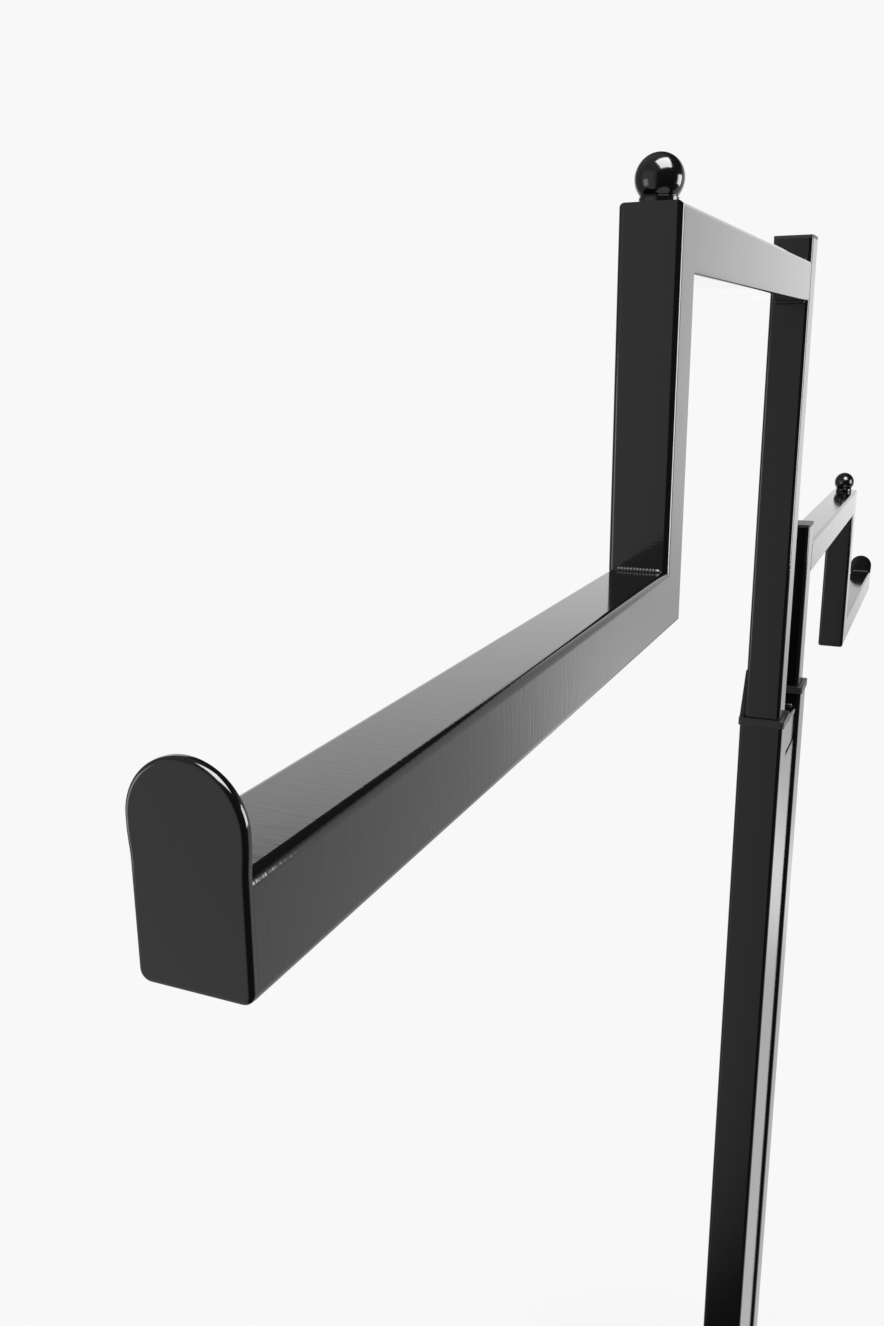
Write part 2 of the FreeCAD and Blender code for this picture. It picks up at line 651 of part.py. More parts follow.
for side, sign in (("front", -1), ("rear", 1)):
    axis = sign * PITCH_HALF
    sleeve = tube_body(f"{side}_sleeve", *SLEEVE_TUBE, "sleeve_length")
    cross_hole(
        sleeve,
        "XZ_Plane",
        expr("lock_hole"),
        "0",
        expr("lock_height"),
        expr("sleeve_side"),
        f"{side}_lock_hole",
    )
    if sleeve.Shape.CenterOfGravity.y > 0:
        # the hole opened the -Y wall: turn the tube so that it faces +Y
        place(sleeve, Vector(0, axis, SLEEVE_FOOT), Rotation(Vector(0, 0, 1), 180))
    else:
        place(sleeve, Vector(0, axis, SLEEVE_FOOT))
    guide = build_guide(f"{side}_guide")
    place(guide, Vector(0, axis, SLEEVE_TOP - SIZE["guide_skirt"]))
    build_lock(side, axis + SIZE["sleeve_side"] / 2, axis + HALF)

link = tube_body("upper_link", *SQUARE_TUBE, "link_length")
place(link, Vector(0, SIZE["link_length"] / 2, SIZE["upper_link_height"] + HALF), OUTWARD)

# A flat web, set back from the right faces, closes the gap from the mast plate to the link.
web_height = SIZE["upper_link_height"] - SLEEVE_FOOT
web = box("mast_web", expr("web_thick"), expr("link_length"), str(web_height), Vector())
web.Label = "mast_web"
web_inner = SIZE["sleeve_side"] / 2 - SIZE["web_recess"] - SIZE["web_thick"]
place(web, Vector(web_inner, -SIZE["link_length"] / 2, SLEEVE_FOOT))

plate_block = box(
    "mast_plate_block",
    expr("mast_plate_width"),
    expr("mast_plate_length"),
    expr("mast_plate_thick"),
    Vector(),
)
MAST_BOLTS = []
for x_sign in (-1, 1):
    for y_sign in (-1, 1):
        MAST_BOLTS.append(Vector(x_sign * SIZE["mast_bolt_half_x"], y_sign * SIZE["mast_bolt_half_y"], 0))

mast_holes = []
for index, spot in enumerate(MAST_BOLTS):
    hole_depth = "Dimensions.mast_plate_thick + 2"
    hole = cylinder(f"mast_hole_{index}", expr("bolt_hole"), hole_depth, spot - Vector(0, 0, 1))
    mast_holes.append(hole)
mast_plate = boolean("Cut", "mast_plate", plate_block, compound("mast_holes", mast_holes))
place(mast_plate, Vector(0, 0, BASE_TOP))

# ---------------------------------------------------------------- base: rail, feet, bolts, levelers

rail = tube_body("base_rail", "rail_width", "base_depth", "base_wall", "base_corner", "rail_length")
rail_holes = new_sketch(rail, "XZ_Plane", "rail_bolt_holes")
for spot in MAST_BOLTS:
    way = f"{spot.y / SIZE['mast_bolt_half_y']:g}"
    middle = f"Dimensions.rail_length / 2 + {way} * Dimensions.mast_bolt_half_y"
    sideways = f"{spot.x / SIZE['mast_bolt_half_x']:g} * Dimensions.mast_bolt_half_x"
    add_circle(rail_holes, expr("bolt_hole"), sideways, middle)
pocket(rail, rail_holes, "Dimensions.base_depth + 2", "rail_bolt_cut", both_sides=True)
place(rail, Vector(0, SIZE["rail_length"] / 2, BASE_AXIS_LEVEL), OUTWARD)

mast_bolt_solids = []
mast_nut_solids = []
for index, spot in enumerate(MAST_BOLTS):
    head_level = Vector(spot.x, spot.y, SLEEVE_FOOT)
    head = hexagon(f"mast_bolt_head_{index}", expr("head_across"), expr("head_thick"), head_level)
    shank_level = head_level - Vector(0, 0, SIZE["mast_bolt_length"])
    shank = cylinder(
        f"mast_bolt_shank_{index}", expr("bolt_dia"), "Dimensions.mast_bolt_length + 1", shank_level
    )
    mast_bolt_solids.append(boolean("Fuse", f"mast_bolt_{index}", head, shank))
    nut_level = Vector(spot.x, spot.y, SIZE["ground_gap"] - SIZE["mast_nut_thick"])
    nut_body = hexagon(f"mast_nut_body_{index}", expr("head_across"), expr("mast_nut_thick"), nut_level)
    nut_hole = cylinder(
        f"mast_nut_bore_{index}",
        expr("thread_bore"),
        "Dimensions.mast_nut_thick + 2",
        nut_level - Vector(0, 0, 1),
    )
    mast_nut_solids.append(boolean("Cut", f"mast_nut_{index}", nut_body, nut_hole))
place(compound("mast_bolts", mast_bolt_solids), Vector())
place(compound("mast_nuts", mast_nut_solids), Vector())

end_blocks = []
foot_bolts = []
leveler_inserts = []
for side, sign in (("front", -1), ("rear", 1)):
    foot = tube_body(
        f"{side}_cross_foot", "foot_width", "base_depth", "base_wall", "base_corner", "foot_length"
    )
    # own X is the width along global Y, own Y is up, own Z runs along global X
    lying = Rotation(Vector(1, 1, 1), 120)
    bolt_sketch = new_sketch(foot, "YZ_Plane", f"{side}_foot_bolt_holes")
    for x_sign in (-1, 1):
        middle = f"Dimensions.foot_length / 2 + {x_sign} * Dimensions.foot_bolt_half"
        add_circle(bolt_sketch, expr("bolt_hole"), "0", middle)
    pocket(foot, bolt_sketch, "Dimensions.foot_width + 2", f"{side}_foot_bolt_cut", both_sides=True)
    insert_sketch = new_sketch(foot, "XZ_Plane", f"{side}_insert_holes")
    for x_sign in (-1, 1):
        middle = f"Dimensions.foot_length / 2 + {x_sign} * Dimensions.leveler_half_x"
        add_circle(insert_sketch, expr("insert_hole"), "0", middle)
    insert_cut = pocket(foot, insert_sketch, "Dimensions.base_depth", f"{side}_insert_cut")
    if foot.Shape.CenterOfGravity.y < 0:
        # the holes opened the upper wall: cut the lower one instead
        insert_cut.Reversed = not insert_cut.Reversed
        doc.recompute()
    place(foot, Vector(-SIZE["foot_length"] / 2, sign * FOOT_AXIS, BASE_AXIS_LEVEL), lying)

    for hand, x_sign in (("left", -1), ("right", 1)):
        cap = plug_body(
            f"{side}_{hand}_foot_cap",
            expr("base_depth"),
            expr("foot_width"),
            "Dimensions.base_depth - 2 * Dimensions.base_wall - 0.1",
            "Dimensions.foot_width - 2 * Dimensions.base_wall - 0.1",
            expr("foot_cap_lip"),
            expr("plug_depth"),
        )
        reach = SIZE["foot_length"] / 2 + SIZE["foot_cap_lip"]
        inward = Rotation(Vector(0, 1, 0), -90 * x_sign)
        place(cap, Vector(x_sign * reach, sign * FOOT_AXIS, BASE_AXIS_LEVEL), inward)

    # threaded block in the end of the rail
    block_start = sign * (SIZE["rail_length"] / 2 - SIZE["block_depth"] / 2)
    block = box(
        f"{side}_block_solid",
        "Dimensions.rail_width - 2 * Dimensions.base_wall - 2.4",
        expr("block_depth"),
        "Dimensions.base_depth - 2 * Dimensions.base_wall",
        Vector(0, block_start, SIZE["ground_gap"] + SIZE["base_wall"]),
    )
    bores = []
    turn = BACKWARD if sign > 0 else OUTWARD
    for index, x_sign in enumerate((-1, 1)):
        along = x_sign * SIZE["foot_bolt_half"]
        inner_end = sign * (SIZE["rail_length"] / 2 - SIZE["block_depth"] - 1)
        bore_start = Vector(along, inner_end, BASE_AXIS_LEVEL)
        bores.append(
            cylinder(
                f"{side}_block_bore_{index}",
                expr("thread_bore"),
                "Dimensions.block_depth + 2",
                bore_start,
                turn,
            )
        )
        tip = sign * (FOOT_OUTER - SIZE["foot_bolt_length"])
        shank_start = Vector(along, tip, BASE_AXIS_LEVEL)
        shank = cylinder(
            f"{side}_foot_bolt_shank_{index}",
            expr("bolt_dia"),
            "Dimensions.foot_bolt_length + 1",
            shank_start,
            turn,
        )
        head_start = Vector(along, sign * FOOT_OUTER, BASE_AXIS_LEVEL)
        head_name = f"{side}_foot_bolt_head_{index}"
        head = hexagon(head_name, expr("head_across"), expr("head_thick"), head_start, turn)
        foot_bolts.append(boolean("Fuse", f"{side}_foot_bolt_{index}", head, shank))
    end_blocks.append(boolean("Cut", f"{side}_end_block", block, compound(f"{side}_block_bores", bores)))

    for hand, x_sign in (("left", -1), ("right", 1)):
        spot = Vector(x_sign * SIZE["leveler_half_x"], sign * FOOT_AXIS, 0)
        name = f"{side}_{hand}"
        flange_level = spot + Vector(0, 0, SIZE["ground_gap"] - SIZE["insert_flange"])
        flange_name = f"{name}_insert_flange"
        flange = cylinder(flange_name, expr("insert_flange_dia"), expr("insert_flange"), flange_level)
        barrel = cylinder(
            f"{name}_insert_barrel",
            expr("insert_dia"),
            "Dimensions.insert_length + Dimensions.insert_flange",
            flange_level,
        )
        body_of_insert = boolean("Fuse", f"{name}_insert_solid", flange, barrel)
        bore = cylinder(
            f"{name}_insert_bore",
            expr("thread_bore"),
            "Dimensions.insert_length + 4",
            flange_level - Vector(0, 0, 1),
        )
        leveler_inserts.append(boolean("Cut", f"{name}_insert", body_of_insert, bore))

        stud_foot = SIZE["pad_height"] - 3
        stud_start = Vector(0, 0, stud_foot)
        stud = cylinder(f"{name}_stud_shank", expr("bolt_dia"), expr("leveler_stud_length"), stud_start)
        hexa = hexagon(
            f"{name}_stud_hex", expr("head_across"), expr("leveler_hex"), Vector(0, 0, SIZE["pad_height"])
        )
        whole_stud = boolean("Fuse", f"{name}_leveler_stud", stud, hexa)
        place(whole_stud, spot)

        pad_body = new_body(f"{name}_leveler_pad")
        profile = new_sketch(pad_body, "XZ_Plane", f"{name}_pad_profile")
        rim = SIZE["pad_dia"] / 2
        level = SIZE["pad_height"]
        socket = SIZE["bolt_dia"] / 2
        add_outline(
            profile,
            [
                (0, 0),
                (rim - 1, 0),
                (rim, 1),
                (rim, 3),
                (rim - 6, level),
                (socket, level),
                (socket, stud_foot),
                (0, stud_foot),
            ],
        )
        turned = pad_body.newObject("PartDesign::Revolution", f"{name}_pad_turned")
        turned.Profile = profile
        turned.ReferenceAxis = (profile, ["V_Axis"])
        turned.Angle = 360.0
        profile.Visibility = False
        doc.recompute()
        place(pad_body, spot)

place(compound("rail_end_blocks", end_blocks), Vector())
place(compound("foot_bolts", foot_bolts), Vector())
place(compound("leveler_inserts", leveler_inserts), Vector())

# ---------------------------------------------------------------- checks and export

doc.recompute()
for item in doc.Objects:
    if "Invalid" in item.State or "Error" in item.State:
        raise RuntimeError(f"{item.Label} did not recompute: {item.State}")

labels = [item.Label for item in sub_parts]
if len(set(labels)) != len(labels):
    raise RuntimeError("two sub-parts share a label")
for item in sub_parts:
    if item.Shape.isNull() or not item.Shape.isValid() or not item.Shape.Solids:
        raise RuntimeError(f"{item.Label} has no valid solid")

os.makedirs("parts", exist_ok=True)
for item in sub_parts:
    item.Shape.exportStep(f"parts/{item.Label}.step")
print(len(sub_parts), "sub-parts written")
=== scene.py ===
"""Looks of the standing rack: enamel, welds, threads and studio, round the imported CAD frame."""

import logging
import math
from dataclasses import dataclass
from enum import Enum
from typing import Callable

import bmesh
import bpy
from mathutils import Matrix, Vector


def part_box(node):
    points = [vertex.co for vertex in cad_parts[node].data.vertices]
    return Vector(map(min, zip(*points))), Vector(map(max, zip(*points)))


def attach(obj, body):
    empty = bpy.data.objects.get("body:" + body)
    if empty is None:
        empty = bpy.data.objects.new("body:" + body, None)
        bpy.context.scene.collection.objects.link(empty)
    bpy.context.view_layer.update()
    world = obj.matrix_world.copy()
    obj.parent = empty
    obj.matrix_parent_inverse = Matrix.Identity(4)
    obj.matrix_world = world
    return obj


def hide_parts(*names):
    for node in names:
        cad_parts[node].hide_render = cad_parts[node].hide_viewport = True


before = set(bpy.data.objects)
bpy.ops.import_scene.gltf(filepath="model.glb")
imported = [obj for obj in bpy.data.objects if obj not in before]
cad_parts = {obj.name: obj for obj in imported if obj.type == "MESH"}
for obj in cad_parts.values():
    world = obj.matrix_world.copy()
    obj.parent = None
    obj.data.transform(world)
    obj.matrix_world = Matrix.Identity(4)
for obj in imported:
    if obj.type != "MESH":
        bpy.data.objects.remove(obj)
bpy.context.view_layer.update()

MILLIMETRE = 0.001
UP = Vector((0, 0, 1))
DOWN = Vector((0, 0, -1))
# how far a threaded stem or shank runs into the head that it belongs to, in metres
STEM_OVERLAP = 0.0002
SHANK_OVERLAP = 0.0005

log = logging.getLogger("rack")


class Side(Enum):
    """The two arm sets: the value is the direction along Y that the set points in."""

    FRONT = -1
    REAR = 1

    @property
    def prefix(self) -> str:
        """Return the first word of this side's node names."""
        return self.name.lower()


class Grain(Enum):
    """The world axis that a tube runs along, which its ground surface texture follows."""

    X = 0
    Y = 1
    Z = 2


# ---------------------------------------------------------------- small helpers


def linear(hex_colour: str) -> tuple[float, float, float, float]:
    """Turn an sRGB hex colour into linear RGBA.

    Args:
        hex_colour: six hex digits, with or without a leading hash.

    Returns:
        The four linear channels, alpha 1.
    """
    digits = hex_colour.lstrip("#")
    channels = []
    for start in (0, 2, 4):
        value = int(digits[start : start + 2], 16) / 255
        if value <= 0.04045:
            channels.append(value / 12.92)
        else:
            channels.append(((value + 0.055) / 1.055) ** 2.4)
    return (channels[0], channels[1], channels[2], 1.0)


def add_node(
    tree: bpy.types.NodeTree,
    kind: str,
    settings: dict[str, object] | None = None,
    inputs: dict[str | int, object] | None = None,
) -> bpy.types.Node:
    """Add one node to a tree, with its settings, socket values and links.

    Args:
        tree: the node tree that gets the node.
        kind: the node's type name.
        settings: node properties by name.
        inputs: by socket name or number, a plain value or another node's output socket.

    Returns:
        The new node.
    """
    node = tree.nodes.new(kind)
    for name, value in (settings or {}).items():
        setattr(node, name, value)
    for name, value in (inputs or {}).items():
        if isinstance(value, bpy.types.NodeSocket):
            tree.links.new(value, node.inputs[name])
        else:
            node.inputs[name].default_value = value
    return node


def object_from(name: str, mesh: bmesh.types.BMesh) -> bpy.types.Object:
    """Turn a bmesh into a linked, smooth-shaded object with welded, outward-facing faces.

    Args:
        name: the name of the object and of its mesh.
        mesh: the geometry, freed here.

    Returns:
        The new object.
    """
    bmesh.ops.remove_doubles(mesh, verts=mesh.verts, dist=1e-7)
    bmesh.ops.recalc_face_normals(mesh, faces=mesh.faces)
    data = bpy.data.meshes.new(name)
    mesh.to_mesh(data)
    mesh.free()
    for polygon in data.polygons:
        polygon.use_smooth = True
    piece = bpy.data.objects.new(name, data)
    bpy.context.scene.collection.objects.link(piece)
    return piece


def skin_rings(mesh: bmesh.types.BMesh, rings: list[list[bmesh.types.BMVert]]) -> None:
    """Join a row of equal closed rings with faces, and close the first and the last.

    Args:
        mesh: the bmesh that holds the rings.
        rings: the rings in order, each with its vertices in order.
    """
    for first, second in zip(rings, rings[1:]):
        for index in range(len(first)):
            following = (index + 1) % len(first)
            mesh.faces.new((first[index], first[following], second[following], second[index]))
    mesh.faces.new(list(reversed(rings[0])))
    mesh.faces.new(rings[-1])


def box_of(node: str) -> tuple[Vector, Vector]:
    """Return the lowest and highest corners of a CAD node's box."""
    low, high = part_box(node)
    return Vector(low), Vector(high)


def centre_of(node: str) -> Vector:
    """Return the middle of a CAD node's box."""
    low, high = box_of(node)
    return (low + high) / 2


def dress(node: str, material: bpy.types.Material) -> None:
    """Give every material slot of a CAD node one material."""
    for material_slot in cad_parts[node].material_slots:
        material_slot.material = material


# ---------------------------------------------------------------- finishes


def start_finish(
    name: str,
) -> tuple[bpy.types.Material, bpy.types.NodeTree, bpy.types.Node, bpy.types.NodeSocket]:
    """Start a material with nodes.

    Args:
        name: the name of the finish.

    Returns:
        The material, its node tree, its shader, and the place on the object in metres.
    """
    material = bpy.data.materials.new(name)
    material.use_nodes = True
    tree = material.node_tree
    place = add_node(tree, "ShaderNodeTexCoord").outputs["Object"]
    return material, tree, tree.nodes["Principled BSDF"], place


@dataclass(frozen=True)
class StovedEnamel:
    """Gloss black stoved enamel over ground steel tube.

    The coat levels out like a lacquer, so faces mirror the room. Under a raking look it
    still shows two things: the cross-grinding of the tube below, as fine ripples across
    the tube, and a faint orange peel.
    """

    name: str = "gloss_black_stoved_enamel"
    colour: str = "#050506"
    roughness: float = 0.085
    ior: float = 1.56
    ripple_pitch_mm: float = 1.5
    ripple_span_mm: float = 14.0
    ripple_height_mm: float = 0.025
    ripple_wander: float = 0.5
    peel_size_mm: float = 2.4
    peel_height_mm: float = 0.0016
    handling_per_metre: float = 24.0
    handling_span: tuple[float, float] = (0.35, 0.7)
    gloss_spread: tuple[float, float] = (0.85, 1.25)

    def build(self, grain: Grain | None) -> bpy.types.Material:
        """Make the material.

        Args:
            grain: the axis that the tube runs along, or None for a plain coated piece.

        Returns:
            The material, named for its finish and grain.
        """
        suffix = f"_along_{grain.name.lower()}" if grain else ""
        material, tree, shader, place = start_finish(self.name + suffix)
        shader.inputs["Base Color"].default_value = linear(self.colour)
        shader.inputs["IOR"].default_value = self.ior
        peel = add_node(
            tree,
            "ShaderNodeTexNoise",
            inputs={"Vector": place, "Scale": 1000 / self.peel_size_mm, "Detail": 1.5},
        )
        relief = add_node(
            tree,
            "ShaderNodeBump",
            inputs={
                "Height": peel.outputs["Fac"],
                "Strength": 1.0,
                "Distance": self.peel_height_mm * MILLIMETRE,
            },
        ).outputs["Normal"]
        if grain:
            stretch = [1000 / self.ripple_span_mm] * 3
            stretch[grain.value] = 1000 / self.ripple_pitch_mm
            squeezed = add_node(
                tree,
                "ShaderNodeVectorMath",
                {"operation": "MULTIPLY"},
                {0: place, 1: tuple(stretch)},
            )
            ripple = add_node(
                tree,
                "ShaderNodeTexNoise",
                inputs={
                    "Vector": squeezed.outputs["Vector"],
                    "Scale": 1.0,
                    "Detail": 3.0,
                    "Distortion": self.ripple_wander,
                },
            )
            relief = add_node(
                tree,
                "ShaderNodeBump",
                inputs={
                    "Height": ripple.outputs["Fac"],
                    "Strength": 1.0,
                    "Distance": self.ripple_height_mm * MILLIMETRE,
                    "Normal": relief,
                },
            ).outputs["Normal"]
        tree.links.new(relief, shader.inputs["Normal"])

        handled = add_node(
            tree,
            "ShaderNodeTexNoise",
            inputs={"Vector": place, "Scale": self.handling_per_metre, "Detail": 4.0},
        )
        gloss = add_node(
            tree,
            "ShaderNodeMapRange",
            inputs={
                "Value": handled.outputs["Fac"],
                "From Min": self.handling_span[0],
                "From Max": self.handling_span[1],
                "To Min": self.roughness * self.gloss_spread[0],
                "To Max": self.roughness * self.gloss_spread[1],
            },
        )
        tree.links.new(gloss.outputs["Result"], shader.inputs["Roughness"])
        return material


@dataclass(frozen=True)
class MouldedPlastic:
    """Injection-moulded plastic with a fine sparked texture from the mould."""

    name: str
    colour: str
    roughness: float
    spark_mm: float = 0.35
    spark_height_mm: float = 0.02
    ior: float = 1.5
    flow_per_metre: float = 60.0
    flow_tint: float = 1.35
    gloss_spread: tuple[float, float] = (0.9, 1.1)

    def build(self) -> bpy.types.Material:
        """Make the material: flat satin colour, spark-eroded grain, slight flow marks."""
        material, tree, shader, place = start_finish(self.name)
        shader.inputs["IOR"].default_value = self.ior
        flow = add_node(
            tree,
            "ShaderNodeTexNoise",
            inputs={"Vector": place, "Scale": self.flow_per_metre, "Detail": 2.0},
        )
        base = linear(self.colour)
        lighter = tuple(min(1.0, channel * self.flow_tint) for channel in base[:3]) + (1.0,)
        tint = add_node(
            tree,
            "ShaderNodeMix",
            {"data_type": "RGBA"},
            {"Factor": flow.outputs["Fac"], 6: base, 7: lighter},
        )
        tree.links.new(tint.outputs[2], shader.inputs["Base Color"])
        gloss = add_node(
            tree,
            "ShaderNodeMapRange",
            inputs={
                "Value": flow.outputs["Fac"],
                "To Min": self.roughness * self.gloss_spread[0],
                "To Max": self.roughness * self.gloss_spread[1],
            },
        )
        tree.links.new(gloss.outputs["Result"], shader.inputs["Roughness"])
        spark = add_node(
            tree,
            "ShaderNodeTexNoise",
            inputs={"Vector": place, "Scale": 1000 / self.spark_mm, "Detail": 2.0},
        )
        relief = add_node(
            tree,
            "ShaderNodeBump",
            inputs={
                "Height": spark.outputs["Fac"],
                "Distance": self.spark_height_mm * MILLIMETRE,
            },
        )
        tree.links.new(relief.outputs["Normal"], shader.inputs["Normal"])
        return material


@dataclass(frozen=True)
class ZincPlate:
    """Steel fasteners, cold headed, rolled and bright zinc plated: pale, with dull patches."""

    name: str = "bright_zinc_plated_steel"
    colour: str = "#B9BCBD"
    dull_colour: str = "#8E9192"
    roughness: float = 0.3
    patch_mm: float = 5.0
    scratch_mm: float = 0.4
    scratch_height_mm: float = 0.01
    gloss_spread: tuple[float, float] = (0.75, 1.35)

    def build(self) -> bpy.types.Material:
        """Make the material: a metal whose colour and roughness vary in soft patches."""
        material, tree, shader, place = start_finish(self.name)
        shader.inputs["Metallic"].default_value = 1.0
        patch = add_node(
            tree,
            "ShaderNodeTexNoise",
            inputs={"Vector": place, "Scale": 1000 / self.patch_mm, "Detail": 3.0},
        )
        tint = add_node(
            tree,
            "ShaderNodeMix",
            {"data_type": "RGBA"},
            {"Factor": patch.outputs["Fac"], 6: linear(self.colour), 7: linear(self.dull_colour)},
        )
        tree.links.new(tint.outputs[2], shader.inputs["Base Color"])
        gloss = add_node(
            tree,
            "ShaderNodeMapRange",
            inputs={
                "Value": patch.outputs["Fac"],
                "To Min": self.roughness * self.gloss_spread[0],
                "To Max": self.roughness * self.gloss_spread[1],
            },
        )
        tree.links.new(gloss.outputs["Result"], shader.inputs["Roughness"])
        scratch = add_node(
            tree,
            "ShaderNodeTexNoise",
            inputs={"Vector": place, "Scale": 1000 / self.scratch_mm, "Detail": 2.0},
        )
        relief = add_node(
            tree,
            "ShaderNodeBump",
            inputs={
                "Height": scratch.outputs["Fac"],
                "Distance": self.scratch_height_mm * MILLIMETRE,
            },
        )
        tree.links.new(relief.outputs["Normal"], shader.inputs["Normal"])
        return material


# ---------------------------------------------------------------- shared meshes


@dataclass
class WeldBead:
    """A fillet weld laid along a straight seam, with the ripples that each pass leaves."""

    name: str
    start: Vector
    finish: Vector
    radius_mm: float = 1.5
    ripple_mm: float = 1.3
    ripple_depth: float = 0.035
    taper_radii: float = 1.2
    rings_per_ripple: int = 8
    segments: int = 14

    def build(self) -> bpy.types.Object:
        """Sweep a rippled round section along the seam, tapered to rounded ends.

        Returns:
            The bead, its seam line along the section's middle.
        """
        run = self.finish - self.start
        length = run.length
        along = run.normalized()
        side = along.orthogonal().normalized()
        up = along.cross(side)
        steps = max(24, int(length / (self.ripple_mm * MILLIMETRE) * self.rings_per_ripple))
        mesh = bmesh.new()
        rings = []
        for step in range(steps + 1):
            travel = length * step / steps
            to_end = min(travel, length - travel)
            radius = self.radius_mm * MILLIMETRE
            from_full = max(0.0, 1 - to_end / (radius * self.taper_radii))
            taper = math.sqrt(max(0.0, 1 - from_full**2))
            phase = travel / (self.ripple_mm * MILLIMETRE)
            ripple = 1 + self.ripple_depth * (abs(math.sin(math.pi * phase)) - 0.6)
            size = max(1e-6, radius * taper * ripple)
            ring = []
            for index in range(self.segments):
                angle = 2 * math.pi * index / self.segments
                offset = side * math.cos(angle) * size + up * math.sin(angle) * size
                ring.append(mesh.verts.new(self.start + along * travel + offset))
            rings.append(ring)
        skin_rings(mesh, rings)
        return object_from(self.name, mesh)


@dataclass
class Lathe:
    """A body of revolution whose radius may also change with the angle."""

    foot: Vector
    axis: Vector
    levels: list[float]
    radius: Callable[[int, float], float]
    segments: int = 48

    def add_to(self, mesh: bmesh.types.BMesh) -> None:
        """Add the closed surface to a bmesh.

        Args:
            mesh: the bmesh that gets the rings, joined by faces and closed at both ends.
        """
        turn = UP.rotation_difference(self.axis.normalized()).to_matrix()
        rings = []
        for number, level in enumerate(self.levels):
            ring = []
            for index in range(self.segments):
                angle = 2 * math.pi * index / self.segments
                size = max(1e-6, self.radius(number, angle))
                local = Vector((size * math.cos(angle), size * math.sin(angle), level))
                ring.append(mesh.verts.new(self.foot + turn @ local))
            rings.append(ring)
        skin_rings(mesh, rings)


@dataclass(frozen=True)
class MetricThread:
    """A rolled V thread, drawn as a helix on a cylinder."""

    diameter_mm: float = 8.0
    pitch_mm: float = 1.25
    depth_share: float = 0.55
    lead_turns: float = 0.4
    lead_share: float = 0.14
    steps_per_turn: int = 6
    segments: int = 32

    def add_to(
        self,
        mesh: bmesh.types.BMesh,
        foot: Vector,
        axis: Vector,
        length: float,
        plain: float = 0.0,
    ) -> None:
        """Add a threaded shank to a bmesh.

        Args:
            mesh: the bmesh that gets the shank.
            foot: the middle of its lower end.
            axis: the direction from the lower end to the upper one.
            length: its length in metres.
            plain: the length of unthreaded shank at the upper end, in metres.
        """
        pitch = self.pitch_mm * MILLIMETRE
        outer = self.diameter_mm * MILLIMETRE / 2
        depth = pitch * self.depth_share
        count = max(2, int(length / pitch * self.steps_per_turn))
        levels = [length * step / count for step in range(count + 1)]

        def radius(number: int, angle: float) -> float:
            """Return the radius of the thread at one ring and angle."""
            level = levels[number]
            if level > length - plain:
                return outer
            turn = (level / pitch - angle / (2 * math.pi)) % 1.0
            groove = 1 - abs(2 * turn - 1)
            lead = min(1.0, (level / pitch + self.lead_turns) / (1 + self.lead_turns))
            return (outer - depth * groove) * (1 - self.lead_share * (1 - lead))

        Lathe(foot, axis, levels, radius, self.segments).add_to(mesh)


@dataclass(frozen=True)
class HexHead:
    """A cold-formed hexagon with its corners chamfered by a cone."""

    across_mm: float = 13.0
    height_mm: float = 5.3
    chamfer_share: float = 0.96
    chamfer_deg: float = 30.0
    inner_share: float = 0.55
    segments: int = 72

    def add_to(
        self, mesh: bmesh.types.BMesh, foot: Vector, axis: Vector, both_faces: bool = False
    ) -> None:
        """Add the head to a bmesh.

        Args:
            mesh: the bmesh that gets the head.
            foot: the middle of its lower face.
            axis: the direction of its top.
            both_faces: whether the lower face is chamfered too, as on a nut.
        """
        half = self.across_mm * MILLIMETRE / 2
        height = self.height_mm * MILLIMETRE
        corner = half / math.cos(math.pi / 6)
        narrow = half * self.chamfer_share
        chamfer = (corner - narrow) * math.tan(math.radians(self.chamfer_deg))
        inner = half * self.inner_share
        levels = [0.0, 0.0, chamfer, height - chamfer, height, height]

        def radius(number: int, angle: float) -> float:
            """Return the hexagon's radius, held in by the chamfer cone near its faces."""
            flat = ((angle + math.pi / 6) % (math.pi / 3)) - math.pi / 6
            hexagon = half / math.cos(flat)
            if number in (0, 5):
                return inner
            if number == 4 or (number == 1 and both_faces):
                return min(hexagon, narrow)
            return hexagon

        Lathe(foot, axis, levels, radius, self.segments).add_to(mesh)


# ---------------------------------------------------------------- arm set


